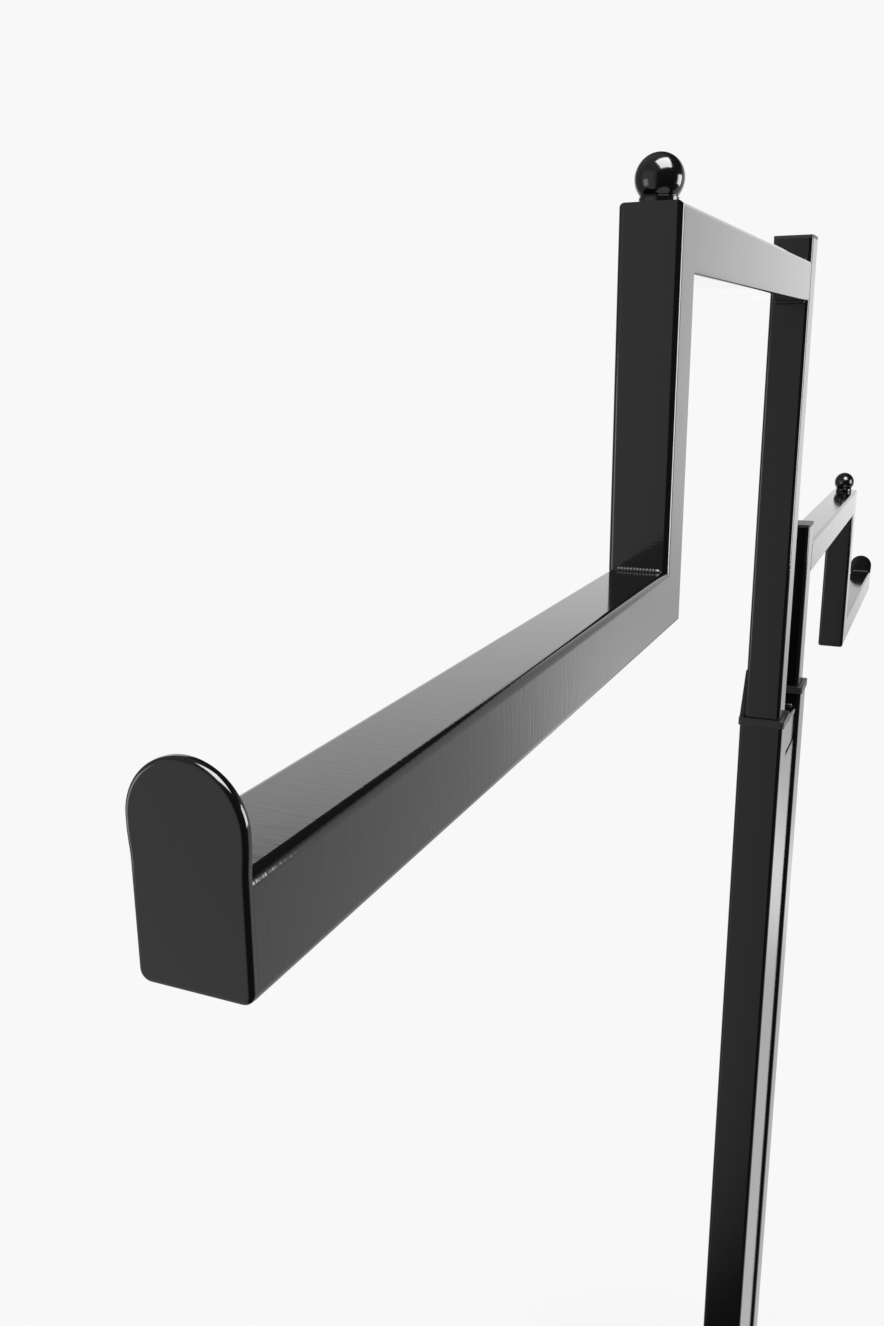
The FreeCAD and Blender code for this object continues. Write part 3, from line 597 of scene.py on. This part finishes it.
@dataclass
class EndPlate:
    """The round-topped stop plate on the end of an arm, its front rim ground well round."""

    node: str
    outward: int
    foot_mm: float = 25.0
    waist_mm: float = 24.0
    shoulder_mm: float = 7.0
    corner_mm: float = 2.6
    front_rim_mm: float = 1.1
    back_rim_mm: float = 0.08
    rim_hold_mm: float = 0.15
    arc_steps: int = 64
    shoulder_steps: int = 16
    rim_steps: int = 8

    def outline(self, width: float, height: float) -> list[tuple[float, float]]:
        """Trace the outer edge, in metres from the middle of the plate's foot.

        Args:
            width: the width above the arm.
            height: the whole height.

        Returns:
            The points, anticlockwise, from the middle of the right-hand corner.
        """
        foot = self.foot_mm * MILLIMETRE / 2
        head = width / 2
        corner = self.corner_mm * MILLIMETRE
        waist = self.waist_mm * MILLIMETRE
        shoulder = self.shoulder_mm * MILLIMETRE
        right = []
        for step in range(self.rim_steps + 1):
            angle = math.radians(-90 + 90 * step / self.rim_steps)
            across = foot - corner + corner * math.cos(angle)
            right.append((across, corner + corner * math.sin(angle)))
        for step in range(self.shoulder_steps + 1):
            share = step / self.shoulder_steps
            ease = (1 - math.cos(math.pi * share)) / 2
            right.append((foot + (head - foot) * ease, waist + shoulder * share))
        for step in range(1, self.arc_steps // 2):
            angle = math.pi * step / self.arc_steps
            right.append((head * math.cos(angle), height - head + head * math.sin(angle)))
        left = [(-x, z) for x, z in reversed(right)]
        return right + [(0.0, height)] + left

    def build(self) -> bpy.types.Object:
        """Build the plate in place of its CAD node.

        Returns:
            The plate.
        """
        low, high = box_of(self.node)
        thick = high.y - low.y
        back = low.y if self.outward > 0 else high.y
        points = self.outline(high.x - low.x, high.z - low.z)
        normals = []
        for index, _ in enumerate(points):
            before = Vector(points[index - 1])
            after = Vector(points[(index + 1) % len(points)])
            along = (after - before).normalized()
            normals.append(Vector((along.y, -along.x)))

        front = self.front_rim_mm * MILLIMETRE
        rear = self.back_rim_mm * MILLIMETRE
        hold = self.rim_hold_mm * MILLIMETRE
        levels = [(0.0, rear + hold)]
        for step in range(self.rim_steps + 1):
            angle = math.pi / 2 * step / self.rim_steps
            levels.append((rear * (1 - math.cos(angle)), rear * (1 - math.sin(angle))))
        for step in range(self.rim_steps + 1):
            angle = math.pi / 2 * step / self.rim_steps
            levels.append((thick - front * (1 - math.sin(angle)), front * (1 - math.cos(angle))))
        levels.append((thick, front + hold))

        mesh = bmesh.new()
        rings = []
        for depth, inset in levels:
            ring = []
            for point, normal in zip(points, normals):
                spot = Vector(point) - normal * inset
                ring.append(mesh.verts.new((spot.x, back + self.outward * depth, low.z + spot.y)))
            rings.append(ring)
        skin_rings(mesh, rings)
        return object_from(f"{self.node}_ground", mesh)


@dataclass
class Finial:
    """The ball finial: a ball run down into a round collar, on a threaded stem."""

    node: str
    collar_mm: float = 15.4
    collar_rise_mm: float = 2.6
    neck_mm: float = 15.0
    collar_bevel_mm: float = 0.35
    stem_mm: float = 6.0
    stem_pitch_mm: float = 1.0
    crease_deg: float = 32.0
    ball_steps: int = 40
    ball_segments: int = 96

    def build(self, seat: float) -> bpy.types.Object:
        """Turn the finial in place of its CAD node.

        Args:
            seat: the height of the top of the bar that the collar stands on.

        Returns:
            The finial.
        """
        low, high = box_of(self.node)
        ball = (high.x - low.x) / 2
        middle = centre_of(self.node)
        neck = self.neck_mm * MILLIMETRE / 2
        collar = self.collar_mm * MILLIMETRE / 2
        bevel = self.collar_bevel_mm * MILLIMETRE
        rise = self.collar_rise_mm * MILLIMETRE
        centre = high.z - seat - ball
        profile = [
            (collar - bevel, 0.0),
            (collar, bevel),
            (collar, rise - bevel),
            (collar - bevel, rise),
        ]
        start = math.asin(-math.sqrt(max(0.0, ball**2 - neck**2)) / ball)
        for step in range(self.ball_steps + 1):
            angle = start + (math.pi / 2 - start) * step / self.ball_steps
            profile.append((ball * math.cos(angle), centre + ball * math.sin(angle)))
        mesh = bmesh.new()
        Lathe(
            Vector((middle.x, middle.y, seat)),
            UP,
            [level for _, level in profile],
            lambda number, angle: profile[number][0],
            self.ball_segments,
        ).add_to(mesh)
        stem = MetricThread(self.stem_mm, self.stem_pitch_mm)
        stem_length = seat - low.z + STEM_OVERLAP
        stem.add_to(mesh, Vector((middle.x, middle.y, low.z)), UP, stem_length)
        finial = object_from(f"{self.node}_turned", mesh)
        finial.data.set_sharp_from_angle(angle=math.radians(self.crease_deg))
        return finial


@dataclass
class ArmSet:
    """Post, top bar, riser, arm, end plate and finial of one side, with their welds."""

    side: Side
    tube: bpy.types.Material
    upright: bpy.types.Material
    coat: bpy.types.Material
    weld_coat: bpy.types.Material
    polished: bpy.types.Material
    nylon: bpy.types.Material
    zinc: bpy.types.Material
    bead_mm: float = 1.6
    bead_inset_mm: float = 2.6
    plate_bead_share: float = 0.62
    side_bead_mm: float = 1.25
    side_bead_depth_mm: float = 1.35
    side_bead_inset_mm: float = 1.5
    side_ripple_depth: float = 0.02

    @property
    def body(self) -> str:
        """Return the CAD body that the set moves with."""
        return f"{self.side.prefix}_arm_set"

    def node(self, part: str) -> str:
        """Return the name of one of this set's CAD nodes."""
        return f"{self.side.prefix}_{part}"

    def dress(self) -> None:
        """Give each CAD node of the set its finish."""
        for part in ("top_bar", "arm"):
            dress(self.node(part), self.tube)
        for part in ("post", "riser"):
            dress(self.node(part), self.upright)
        for part in ("post_cap", "post_shoe"):
            dress(self.node(part), self.nylon)
        dress(self.node("finial_nut"), self.zinc)

    def shape(self) -> list[bpy.types.Object]:
        """Build the end plate and the finial, ground and turned smoother than their CAD nodes.

        Returns:
            The two pieces, riding on the set's body.
        """
        plate = EndPlate(self.node("end_plate"), self.side.value).build()
        plate.data.materials.append(self.coat)
        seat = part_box(self.node("top_bar"))[1][2]
        finial = Finial(self.node("finial")).build(seat)
        finial.data.materials.append(self.polished)
        for piece, part in ((plate, "end_plate"), (finial, "finial")):
            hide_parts(self.node(part))
            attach(piece, self.body)
        return [plate, finial]

    def weld(self) -> list[bpy.types.Object]:
        """Lay the fillet welds of the set.

        Returns:
            The beads, riding on the set's body.
        """
        sign = self.side.value
        bar_low, bar_high = box_of(self.node("top_bar"))
        arm_low, arm_high = box_of(self.node("arm"))
        riser_low, riser_high = box_of(self.node("riser"))
        post_low, post_high = box_of(self.node("post"))
        post_face = post_low.y if sign < 0 else post_high.y
        riser_outer = riser_low.y if sign < 0 else riser_high.y
        riser_inner = riser_high.y if sign < 0 else riser_low.y
        arm_end = arm_low.y if sign < 0 else arm_high.y
        half = (bar_high.x - bar_low.x) / 2
        reach = half - self.bead_inset_mm * MILLIMETRE
        seams = {
            "bar_top_weld": (post_face, bar_high.z),
            "bar_under_weld": (post_face, bar_low.z),
            "riser_top_weld": (riser_inner, bar_low.z),
            "riser_foot_weld": (riser_outer, arm_high.z),
            "end_plate_weld": (arm_end, arm_high.z),
        }
        beads = []
        for name, (along, level) in seams.items():
            radius = self.bead_mm
            if name == "end_plate_weld":
                radius *= self.plate_bead_share
            bead = WeldBead(
                self.node(name),
                Vector((-reach, along, level)),
                Vector((reach, along, level)),
                radius,
            ).build()
            beads.append(bead)
        inset = self.side_bead_inset_mm * MILLIMETRE
        for word, hand in (("left", -1), ("right", 1)):
            across = hand * (half - self.side_bead_depth_mm * MILLIMETRE)
            seam = WeldBead(
                self.node(f"bar_{word}_weld"),
                Vector((across, post_face, bar_low.z + inset)),
                Vector((across, post_face, bar_high.z - inset)),
                self.side_bead_mm,
                ripple_depth=self.side_ripple_depth,
            ).build()
            beads.append(seam)
        for bead in beads:
            bead.data.materials.append(self.weld_coat)
            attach(bead, self.body)
        return beads


# ---------------------------------------------------------------- mast


@dataclass
class Mast:
    """The two sleeves with their link, web, guide collars, plate and welds."""

    upright: bpy.types.Material
    tube: bpy.types.Material
    coat: bpy.types.Material
    nylon: bpy.types.Material
    bead_mm: float = 2.0
    link_bead_mm: float = 1.5
    link_inset_mm: float = 2.5
    stitch_bead_mm: float = 1.6
    stitch_mm: float = 24.0
    stitches: int = 6

    def dress(self) -> None:
        """Give each CAD node of the mast its finish."""
        for side in Side:
            dress(f"{side.prefix}_sleeve", self.upright)
            dress(f"{side.prefix}_guide", self.nylon)
            dress(f"{side.prefix}_lock_boss", self.coat)
        dress("upper_link", self.tube)
        dress("mast_web", self.upright)
        dress("mast_plate", self.coat)

    def weld(self) -> list[bpy.types.Object]:
        """Lay the welds round the foot of each sleeve, at the link's ends and along the web.

        Returns:
            The beads, riding on the base.
        """
        beads = []
        for side in Side:
            low, high = box_of(f"{side.prefix}_sleeve")
            inset = self.bead_mm * MILLIMETRE
            foot = low.z
            corners = [
                Vector((low.x, low.y, foot)),
                Vector((high.x, low.y, foot)),
                Vector((high.x, high.y, foot)),
                Vector((low.x, high.y, foot)),
            ]
            for index in range(4):
                start = corners[index]
                finish = corners[(index + 1) % 4]
                along = (finish - start).normalized() * inset
                name = f"{side.prefix}_sleeve_weld_{index + 1}"
                bead = WeldBead(name, start + along, finish - along, self.bead_mm)
                beads.append(bead.build())
        low, high = box_of("upper_link")
        reach = high.x - self.link_inset_mm * MILLIMETRE
        for end, along in (("front", low.y), ("rear", high.y)):
            name = f"upper_link_{end}_weld"
            start = Vector((-reach, along, high.z))
            finish = Vector((reach, along, high.z))
            beads.append(WeldBead(name, start, finish, self.link_bead_mm).build())
        low, high = box_of("mast_web")
        stitch = self.stitch_mm * MILLIMETRE
        for end, along in (("front", low.y), ("rear", high.y)):
            for index in range(self.stitches):
                level = low.z + (high.z - low.z) * (index + 0.5) / self.stitches
                start = Vector((low.x, along, level - stitch / 2))
                name = f"mast_web_{end}_stitch_{index + 1}"
                finish = start + UP * stitch
                beads.append(WeldBead(name, start, finish, self.stitch_bead_mm).build())
        for bead in beads:
            bead.data.materials.append(self.coat)
            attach(bead, "base")
        return beads


# ---------------------------------------------------------------- lock screws


@dataclass
class LockScrews:
    """The two lock screws with their lobed knobs."""

    knob: bpy.types.Material
    zinc: bpy.types.Material

    def build(self) -> list[bpy.types.Object]:
        """Dress the knobs and put a real thread in place of each plain shank.

        Returns:
            The threaded screws, riding on their lock bodies.
        """
        screws = []
        for side in Side:
            dress(f"{side.prefix}_lock_knob", self.knob)
            node = f"{side.prefix}_lock_screw"
            low, high = box_of(node)
            middle = centre_of(node)
            mesh = bmesh.new()
            foot = Vector((middle.x, low.y, middle.z))
            MetricThread().add_to(mesh, foot, Vector((0, 1, 0)), high.y - low.y)
            screw = object_from(f"{node}_threaded", mesh)
            screw.data.materials.append(self.zinc)
            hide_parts(node)
            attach(screw, f"{side.prefix}_lock")
            screws.append(screw)
        return screws


# ---------------------------------------------------------------- base


@dataclass
class BaseFrame:
    """Rail, cross feet, end caps, bolts, nuts, inserts and levelling feet."""

    rail: bpy.types.Material
    cross: bpy.types.Material
    coat: bpy.types.Material
    nylon: bpy.types.Material
    pad: bpy.types.Material
    zinc: bpy.types.Material
    plain_shank_mm: float = 18.0
    jam_nut_mm: float = 4.0
    crease_deg: float = 28.0
    hands: tuple[str, str] = ("left", "right")

    def dress(self) -> None:
        """Give each CAD node of the base its finish."""
        dress("base_rail", self.rail)
        dress("rail_end_blocks", self.coat)
        dress("leveler_inserts", self.zinc)
        for side in Side:
            dress(f"{side.prefix}_cross_foot", self.cross)
            for hand in self.hands:
                dress(f"{side.prefix}_{hand}_foot_cap", self.nylon)
                dress(f"{side.prefix}_{hand}_leveler_pad", self.pad)

    def islands(self, node: str) -> list[tuple[Vector, Vector]]:
        """Return the box of each separate solid of a CAD node, as lowest and highest corners."""
        mesh = bmesh.new()
        mesh.from_mesh(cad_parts[node].data)
        bmesh.ops.remove_doubles(mesh, verts=mesh.verts, dist=1e-6)
        boxes = []
        waiting = set(mesh.verts)
        while waiting:
            front = [waiting.pop()]
            low = front[0].co.copy()
            high = front[0].co.copy()
            while front:
                vertex = front.pop()
                for axis in range(3):
                    low[axis] = min(low[axis], vertex.co[axis])
                    high[axis] = max(high[axis], vertex.co[axis])
                for edge in vertex.link_edges:
                    other = edge.other_vert(vertex)
                    if other in waiting:
                        waiting.remove(other)
                        front.append(other)
            boxes.append((low, high))
        mesh.free()
        return sorted(boxes, key=lambda pair: tuple(round(value, 4) for value in pair[0]))

    def bolts(self) -> list[bpy.types.Object]:
        """Build the threaded bolts, nuts and levelling studs in place of the plain ones.

        Returns:
            The fasteners, riding on the bodies of the nodes that they replace.
        """
        pieces = []
        head = HexHead()
        thread = MetricThread()
        plain = self.plain_shank_mm * MILLIMETRE

        mesh = bmesh.new()
        for low, high in self.islands("mast_bolts"):
            middle = (low + high) / 2
            top = high.z - head.height_mm * MILLIMETRE
            head.add_to(mesh, Vector((middle.x, middle.y, top)), UP)
            foot = Vector((middle.x, middle.y, low.z))
            thread.add_to(mesh, foot, UP, top - low.z + SHANK_OVERLAP, plain)
        pieces.append(self.finish_fastener(mesh, "mast_bolts", "base"))

        mesh = bmesh.new()
        for low, high in self.islands("mast_nuts"):
            middle = (low + high) / 2
            nut = HexHead(height_mm=(high.z - low.z) / MILLIMETRE)
            nut.add_to(mesh, Vector((middle.x, middle.y, low.z)), UP, both_faces=True)
        pieces.append(self.finish_fastener(mesh, "mast_nuts", "base"))

        mesh = bmesh.new()
        for low, high in self.islands("foot_bolts"):
            middle = (low + high) / 2
            outward = 1 if middle.y > 0 else -1
            face = high.y if outward > 0 else low.y
            inner = low.y if outward > 0 else high.y
            seat = face - outward * head.height_mm * MILLIMETRE
            axis = Vector((0, outward, 0))
            head.add_to(mesh, Vector((middle.x, seat, middle.z)), axis)
            foot = Vector((middle.x, inner, middle.z))
            thread.add_to(mesh, foot, axis, abs(seat - inner) + SHANK_OVERLAP, plain)
        pieces.append(self.finish_fastener(mesh, "foot_bolts", "base"))

        for side in Side:
            for hand in self.hands:
                name = f"{side.prefix}_{hand}_leveler"
                low, high = box_of(f"{name}_stud")
                pad_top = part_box(f"{name}_pad")[1][2]
                middle = (low + high) / 2
                mesh = bmesh.new()
                thread.add_to(mesh, Vector((middle.x, middle.y, high.z)), DOWN, high.z - low.z)
                nut_foot = Vector((middle.x, middle.y, pad_top))
                HexHead(height_mm=self.jam_nut_mm).add_to(mesh, nut_foot, UP, both_faces=True)
                pieces.append(self.finish_fastener(mesh, f"{name}_stud", name))
        return pieces

    def finish_fastener(self, mesh: bmesh.types.BMesh, node: str, body: str) -> bpy.types.Object:
        """Turn a fastener's bmesh into a piece that replaces a CAD node and rides on a body."""
        piece = object_from(f"{node}_threaded", mesh)
        piece.data.set_sharp_from_angle(angle=math.radians(self.crease_deg))
        piece.data.materials.append(self.zinc)
        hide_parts(node)
        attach(piece, body)
        return piece


# ---------------------------------------------------------------- studio


@dataclass
class Studio:
    """Plain pale floor, soft lights, surroundings and camera."""

    pale: str = "#F8F8F8"
    room_level: float = 0.06
    left_level: float = 0.26
    front_level: float = 0.66
    backdrop_level: float = 1.25
    sweep_level: float = 0.73
    glow_level: float = 1.4
    ceiling_level: float = 0.03
    high_level: float = 0.32
    floor_reach: float = 30.0
    # painted contact shadow on the floor: how far it reaches, the occlusion at which it is darkest,
    # and its darkest level
    contact_reach: float = 0.25
    contact_from: float = 0.2
    contact_shade: float = 0.62
    rack_middle: tuple[float, float, float] = (0.0, -0.4, 1.3)
    camera_place: tuple[float, float, float] = (0.1186, -0.8786, 1.3636)
    camera_left_deg: float = 24.296
    camera_down_deg: float = 15.113
    camera_roll_deg: float = 0.532
    camera_lens_mm: float = 31.62
    camera_sensor_mm: float = 36.0
    camera_nearest: float = 0.01

    def level(self, tree: bpy.types.NodeTree, way: bpy.types.NodeSocket) -> bpy.types.NodeSocket:
        """Work out how bright the surroundings look from the rack in a direction.

        The rack stands before a lit paper backdrop with a dark room round it. The room is
        brighter to the left of the front, the paper's lit sweep ends low down, and there is
        a small glow low behind the rack.

        Args:
            tree: the node tree that gets the nodes.
            way: the unit direction away from the rack.

        Returns:
            The brightness.
        """
        height = add_node(tree, "ShaderNodeSeparateXYZ", inputs={0: way}).outputs["Z"]
        squashed = add_node(
            tree, "ShaderNodeVectorMath", {"operation": "MULTIPLY"}, {0: way, 1: (1.0, 1.0, 0.2)}
        ).outputs[0]
        level_way = add_node(
            tree, "ShaderNodeVectorMath", {"operation": "NORMALIZE"}, {0: squashed}
        ).outputs[0]

        def step(value: bpy.types.NodeSocket, low: float, high: float) -> bpy.types.NodeSocket:
            """Return a soft step from 0 at low to 1 at high."""
            ramp = add_node(
                tree,
                "ShaderNodeMapRange",
                {"interpolation_type": "SMOOTHSTEP"},
                {"Value": value, "From Min": low, "From Max": high},
            )
            return ramp.outputs["Result"]

        def toward(
            aim: tuple[float, float, float],
            wide: float,
            narrow: float,
            look: bpy.types.NodeSocket = way,
        ) -> bpy.types.NodeSocket:
            """Return a mask round an aim: 0 outside the wide angle, 1 inside the narrow one."""
            close = add_node(
                tree,
                "ShaderNodeVectorMath",
                {"operation": "DOT_PRODUCT"},
                {0: look, 1: Vector(aim).normalized()},
            ).outputs["Value"]
            return step(close, math.cos(math.radians(wide)), math.cos(math.radians(narrow)))

        def blend(factor: bpy.types.NodeSocket, low: object, high: object) -> bpy.types.NodeSocket:
            """Return a mix of two levels by a factor."""
            inputs = {0: factor, 2: low, 3: high}
            return add_node(tree, "ShaderNodeMix", {"data_type": "FLOAT"}, inputs).outputs[0]

        room = blend(toward((-1.0, 0.1, 0.0), 78, 37), self.room_level, self.left_level)
        room = blend(toward((-0.62, -0.78, 0.0), 47, 11, level_way), room, self.front_level)
        sweep = blend(step(height, -0.29, -0.08), self.sweep_level, self.backdrop_level)
        room = blend(toward((0.0, 1.0, -0.45), 62, 46), room, self.sweep_level)
        room = blend(toward((0.1, 1.0, -0.3), 18, 6), room, self.glow_level)
        room = blend(toward((-0.284, 0.959, 0.0), 37, 29.5), room, sweep)
        above = blend(toward((-0.45, -0.35, 0.82), 72, 37), self.ceiling_level, self.high_level)
        return blend(step(height, 0.40, 0.46), room, above)

    def split(
        self, tree: bpy.types.NodeTree, kind: str, seen: object, mirrored: object
    ) -> bpy.types.Node:
        """Mix a plain pale look for the eye with the level that reflections show.

        Args:
            tree: the node tree that gets the nodes.
            kind: the node type that gives off light.
            seen: the strength for the eye.
            mirrored: the strength for everything else.

        Returns:
            The mixing node.
        """
        plain = add_node(tree, kind, inputs={"Color": linear(self.pale), "Strength": seen})
        other = add_node(tree, kind, inputs={"Color": (1.0, 1.0, 1.0, 1.0), "Strength": mirrored})
        eye = add_node(tree, "ShaderNodeLightPath").outputs["Is Camera Ray"]
        inputs = {0: eye, 1: other.outputs[0], 2: plain.outputs[0]}
        return add_node(tree, "ShaderNodeMixShader", inputs=inputs)

    def surround(self) -> None:
        """Build the surroundings: pale to the eye, a lit backdrop in a dark room to gloss."""
        world = bpy.data.worlds.new("studio_surroundings")
        world.use_nodes = True
        bpy.context.scene.world = world
        tree = world.node_tree
        tree.nodes.clear()
        way = add_node(tree, "ShaderNodeTexCoord").outputs["Generated"]
        both = self.split(tree, "ShaderNodeBackground", 1.0, self.level(tree, way))
        add_node(tree, "ShaderNodeOutputWorld", inputs={"Surface": both.outputs[0]})

    def floor(self) -> bpy.types.Object:
        """Lay the floor: pale, evenly lit, with a painted contact shadow where the rack stands on
        it.

        Returns:
            The floor.
        """
        mesh = bmesh.new()
        reach = self.floor_reach
        corners = [(-reach, -reach, 0), (reach, -reach, 0), (reach, reach, 0), (-reach, reach, 0)]
        mesh.faces.new([mesh.verts.new(corner) for corner in corners])
        plane = object_from("floor", mesh)
        material = bpy.data.materials.new("pale_paper_floor")
        material.use_nodes = True
        tree = material.node_tree
        tree.nodes.clear()
        # painted contact shadow: the floor's emission for the eye is darkened by ambient occlusion
        # near the rack
        contact = add_node(
            tree, "ShaderNodeAmbientOcclusion", {"samples": 8}, {"Distance": self.contact_reach}
        )
        shade = add_node(
            tree,
            "ShaderNodeMapRange",
            inputs={
                "Value": contact.outputs["AO"],
                "From Min": self.contact_from,
                "To Min": self.contact_shade,
            },
        )
        place = add_node(tree, "ShaderNodeTexCoord").outputs["Object"]
        away = add_node(
            tree, "ShaderNodeVectorMath", {"operation": "SUBTRACT"}, {0: place, 1: self.rack_middle}
        ).outputs[0]
        way = add_node(
            tree, "ShaderNodeVectorMath", {"operation": "NORMALIZE"}, {0: away}
        ).outputs[0]
        seen = shade.outputs["Result"]
        both = self.split(tree, "ShaderNodeEmission", seen, self.level(tree, way))
        add_node(tree, "ShaderNodeOutputMaterial", inputs={"Surface": both.outputs[0]})
        plane.data.materials.append(material)
        return plane

    def softbox(
        self,
        name: str,
        target: Vector,
        direction: tuple[float, float, float],
        distance: float,
        size: tuple[float, float],
        level: float,
    ) -> bpy.types.Object:
        """Hang one soft panel light facing a target.

        Args:
            name: the name of the light.
            target: the point that it faces.
            direction: the way from the target to the light.
            distance: how far away it hangs, in metres.
            size: its width and height in metres.
            level: its brightness as a reflection shows it.

        Returns:
            The light object.
        """
        data = bpy.data.lights.new(name, "AREA")
        data.shape = "RECTANGLE"
        data.size, data.size_y = size
        data.energy = level * math.pi * size[0] * size[1]
        light = bpy.data.objects.new(name, data)
        way = Vector(direction).normalized()
        light.location = target + way * distance
        light.rotation_euler = way.to_track_quat("Z", "Y").to_euler()
        light.visible_camera = False
        bpy.context.scene.collection.objects.link(light)
        return light

    def lights(self) -> None:
        """Hang the overhead panel, the window to the right and the dim fill to the left."""
        ball = centre_of("front_finial")
        self.softbox("overhead_panel", ball, (0.334, -0.301, 0.892), 1.5, (1.4, 1.3), 15.0)
        self.softbox("right_window", ball, (0.883, 0.454, -0.05), 1.6, (0.75, 0.75), 10.0)
        self.softbox("left_fill", ball, (-0.775, -0.578, -0.25), 1.7, (0.7, 0.7), 2.0)

    def camera(self) -> None:
        """Place the camera close to the end of the front arm, looking up the rack."""
        data = bpy.data.cameras.new("camera")
        data.sensor_fit = "AUTO"
        data.sensor_width = self.camera_sensor_mm
        data.lens = self.camera_lens_mm
        data.clip_start = self.camera_nearest
        camera = bpy.data.objects.new("camera", data)
        turn = Matrix.Rotation(math.radians(self.camera_left_deg), 4, "Z")
        tilt = Matrix.Rotation(math.radians(90 - self.camera_down_deg), 4, "X")
        roll = Matrix.Rotation(math.radians(-self.camera_roll_deg), 4, "Z")
        camera.matrix_world = Matrix.Translation(self.camera_place) @ turn @ tilt @ roll
        bpy.context.scene.collection.objects.link(camera)
        bpy.context.scene.camera = camera

    def build(self) -> None:
        """Build the whole studio, with colours shown as they are."""
        bpy.context.scene.view_settings.view_transform = "Standard"
        self.surround()
        self.floor()
        self.lights()
        self.camera()


# ---------------------------------------------------------------- everything in order


def main() -> None:
    """Build the finishes, dress the frame, add the Blender pieces and set up the studio."""
    logging.basicConfig(level=logging.INFO, format="%(name)s: %(message)s")
    enamel = StovedEnamel()
    along = {grain: enamel.build(grain) for grain in Grain}
    coat = enamel.build(None)
    weld_coat = StovedEnamel("stoved_enamel_over_weld", roughness=0.3).build(None)
    polished = StovedEnamel(
        "polished_black_stoved_enamel", roughness=0.13, peel_height_mm=0.0008
    ).build(None)
    nylon = MouldedPlastic("moulded_black_nylon", "#141415", 0.42).build()
    phenolic = MouldedPlastic(
        "moulded_black_phenolic", "#101011", 0.22, spark_height_mm=0.006
    ).build()
    polyethylene = MouldedPlastic("moulded_grey_polyethylene", "#2B2C2E", 0.5).build()
    zinc = ZincPlate().build()

    pieces: list[bpy.types.Object] = []
    for side in Side:
        arm_set = ArmSet(
            side, along[Grain.Y], along[Grain.Z], coat, weld_coat, polished, nylon, zinc
        )
        arm_set.dress()
        pieces += arm_set.shape()
        pieces += arm_set.weld()
    mast = Mast(along[Grain.Z], along[Grain.Y], coat, nylon)
    mast.dress()
    pieces += mast.weld()
    pieces += LockScrews(phenolic, zinc).build()
    base = BaseFrame(along[Grain.Y], along[Grain.X], coat, nylon, polyethylene, zinc)
    base.dress()
    pieces += base.bolts()

    Studio().build()


if __name__ == "__main__":
    main()
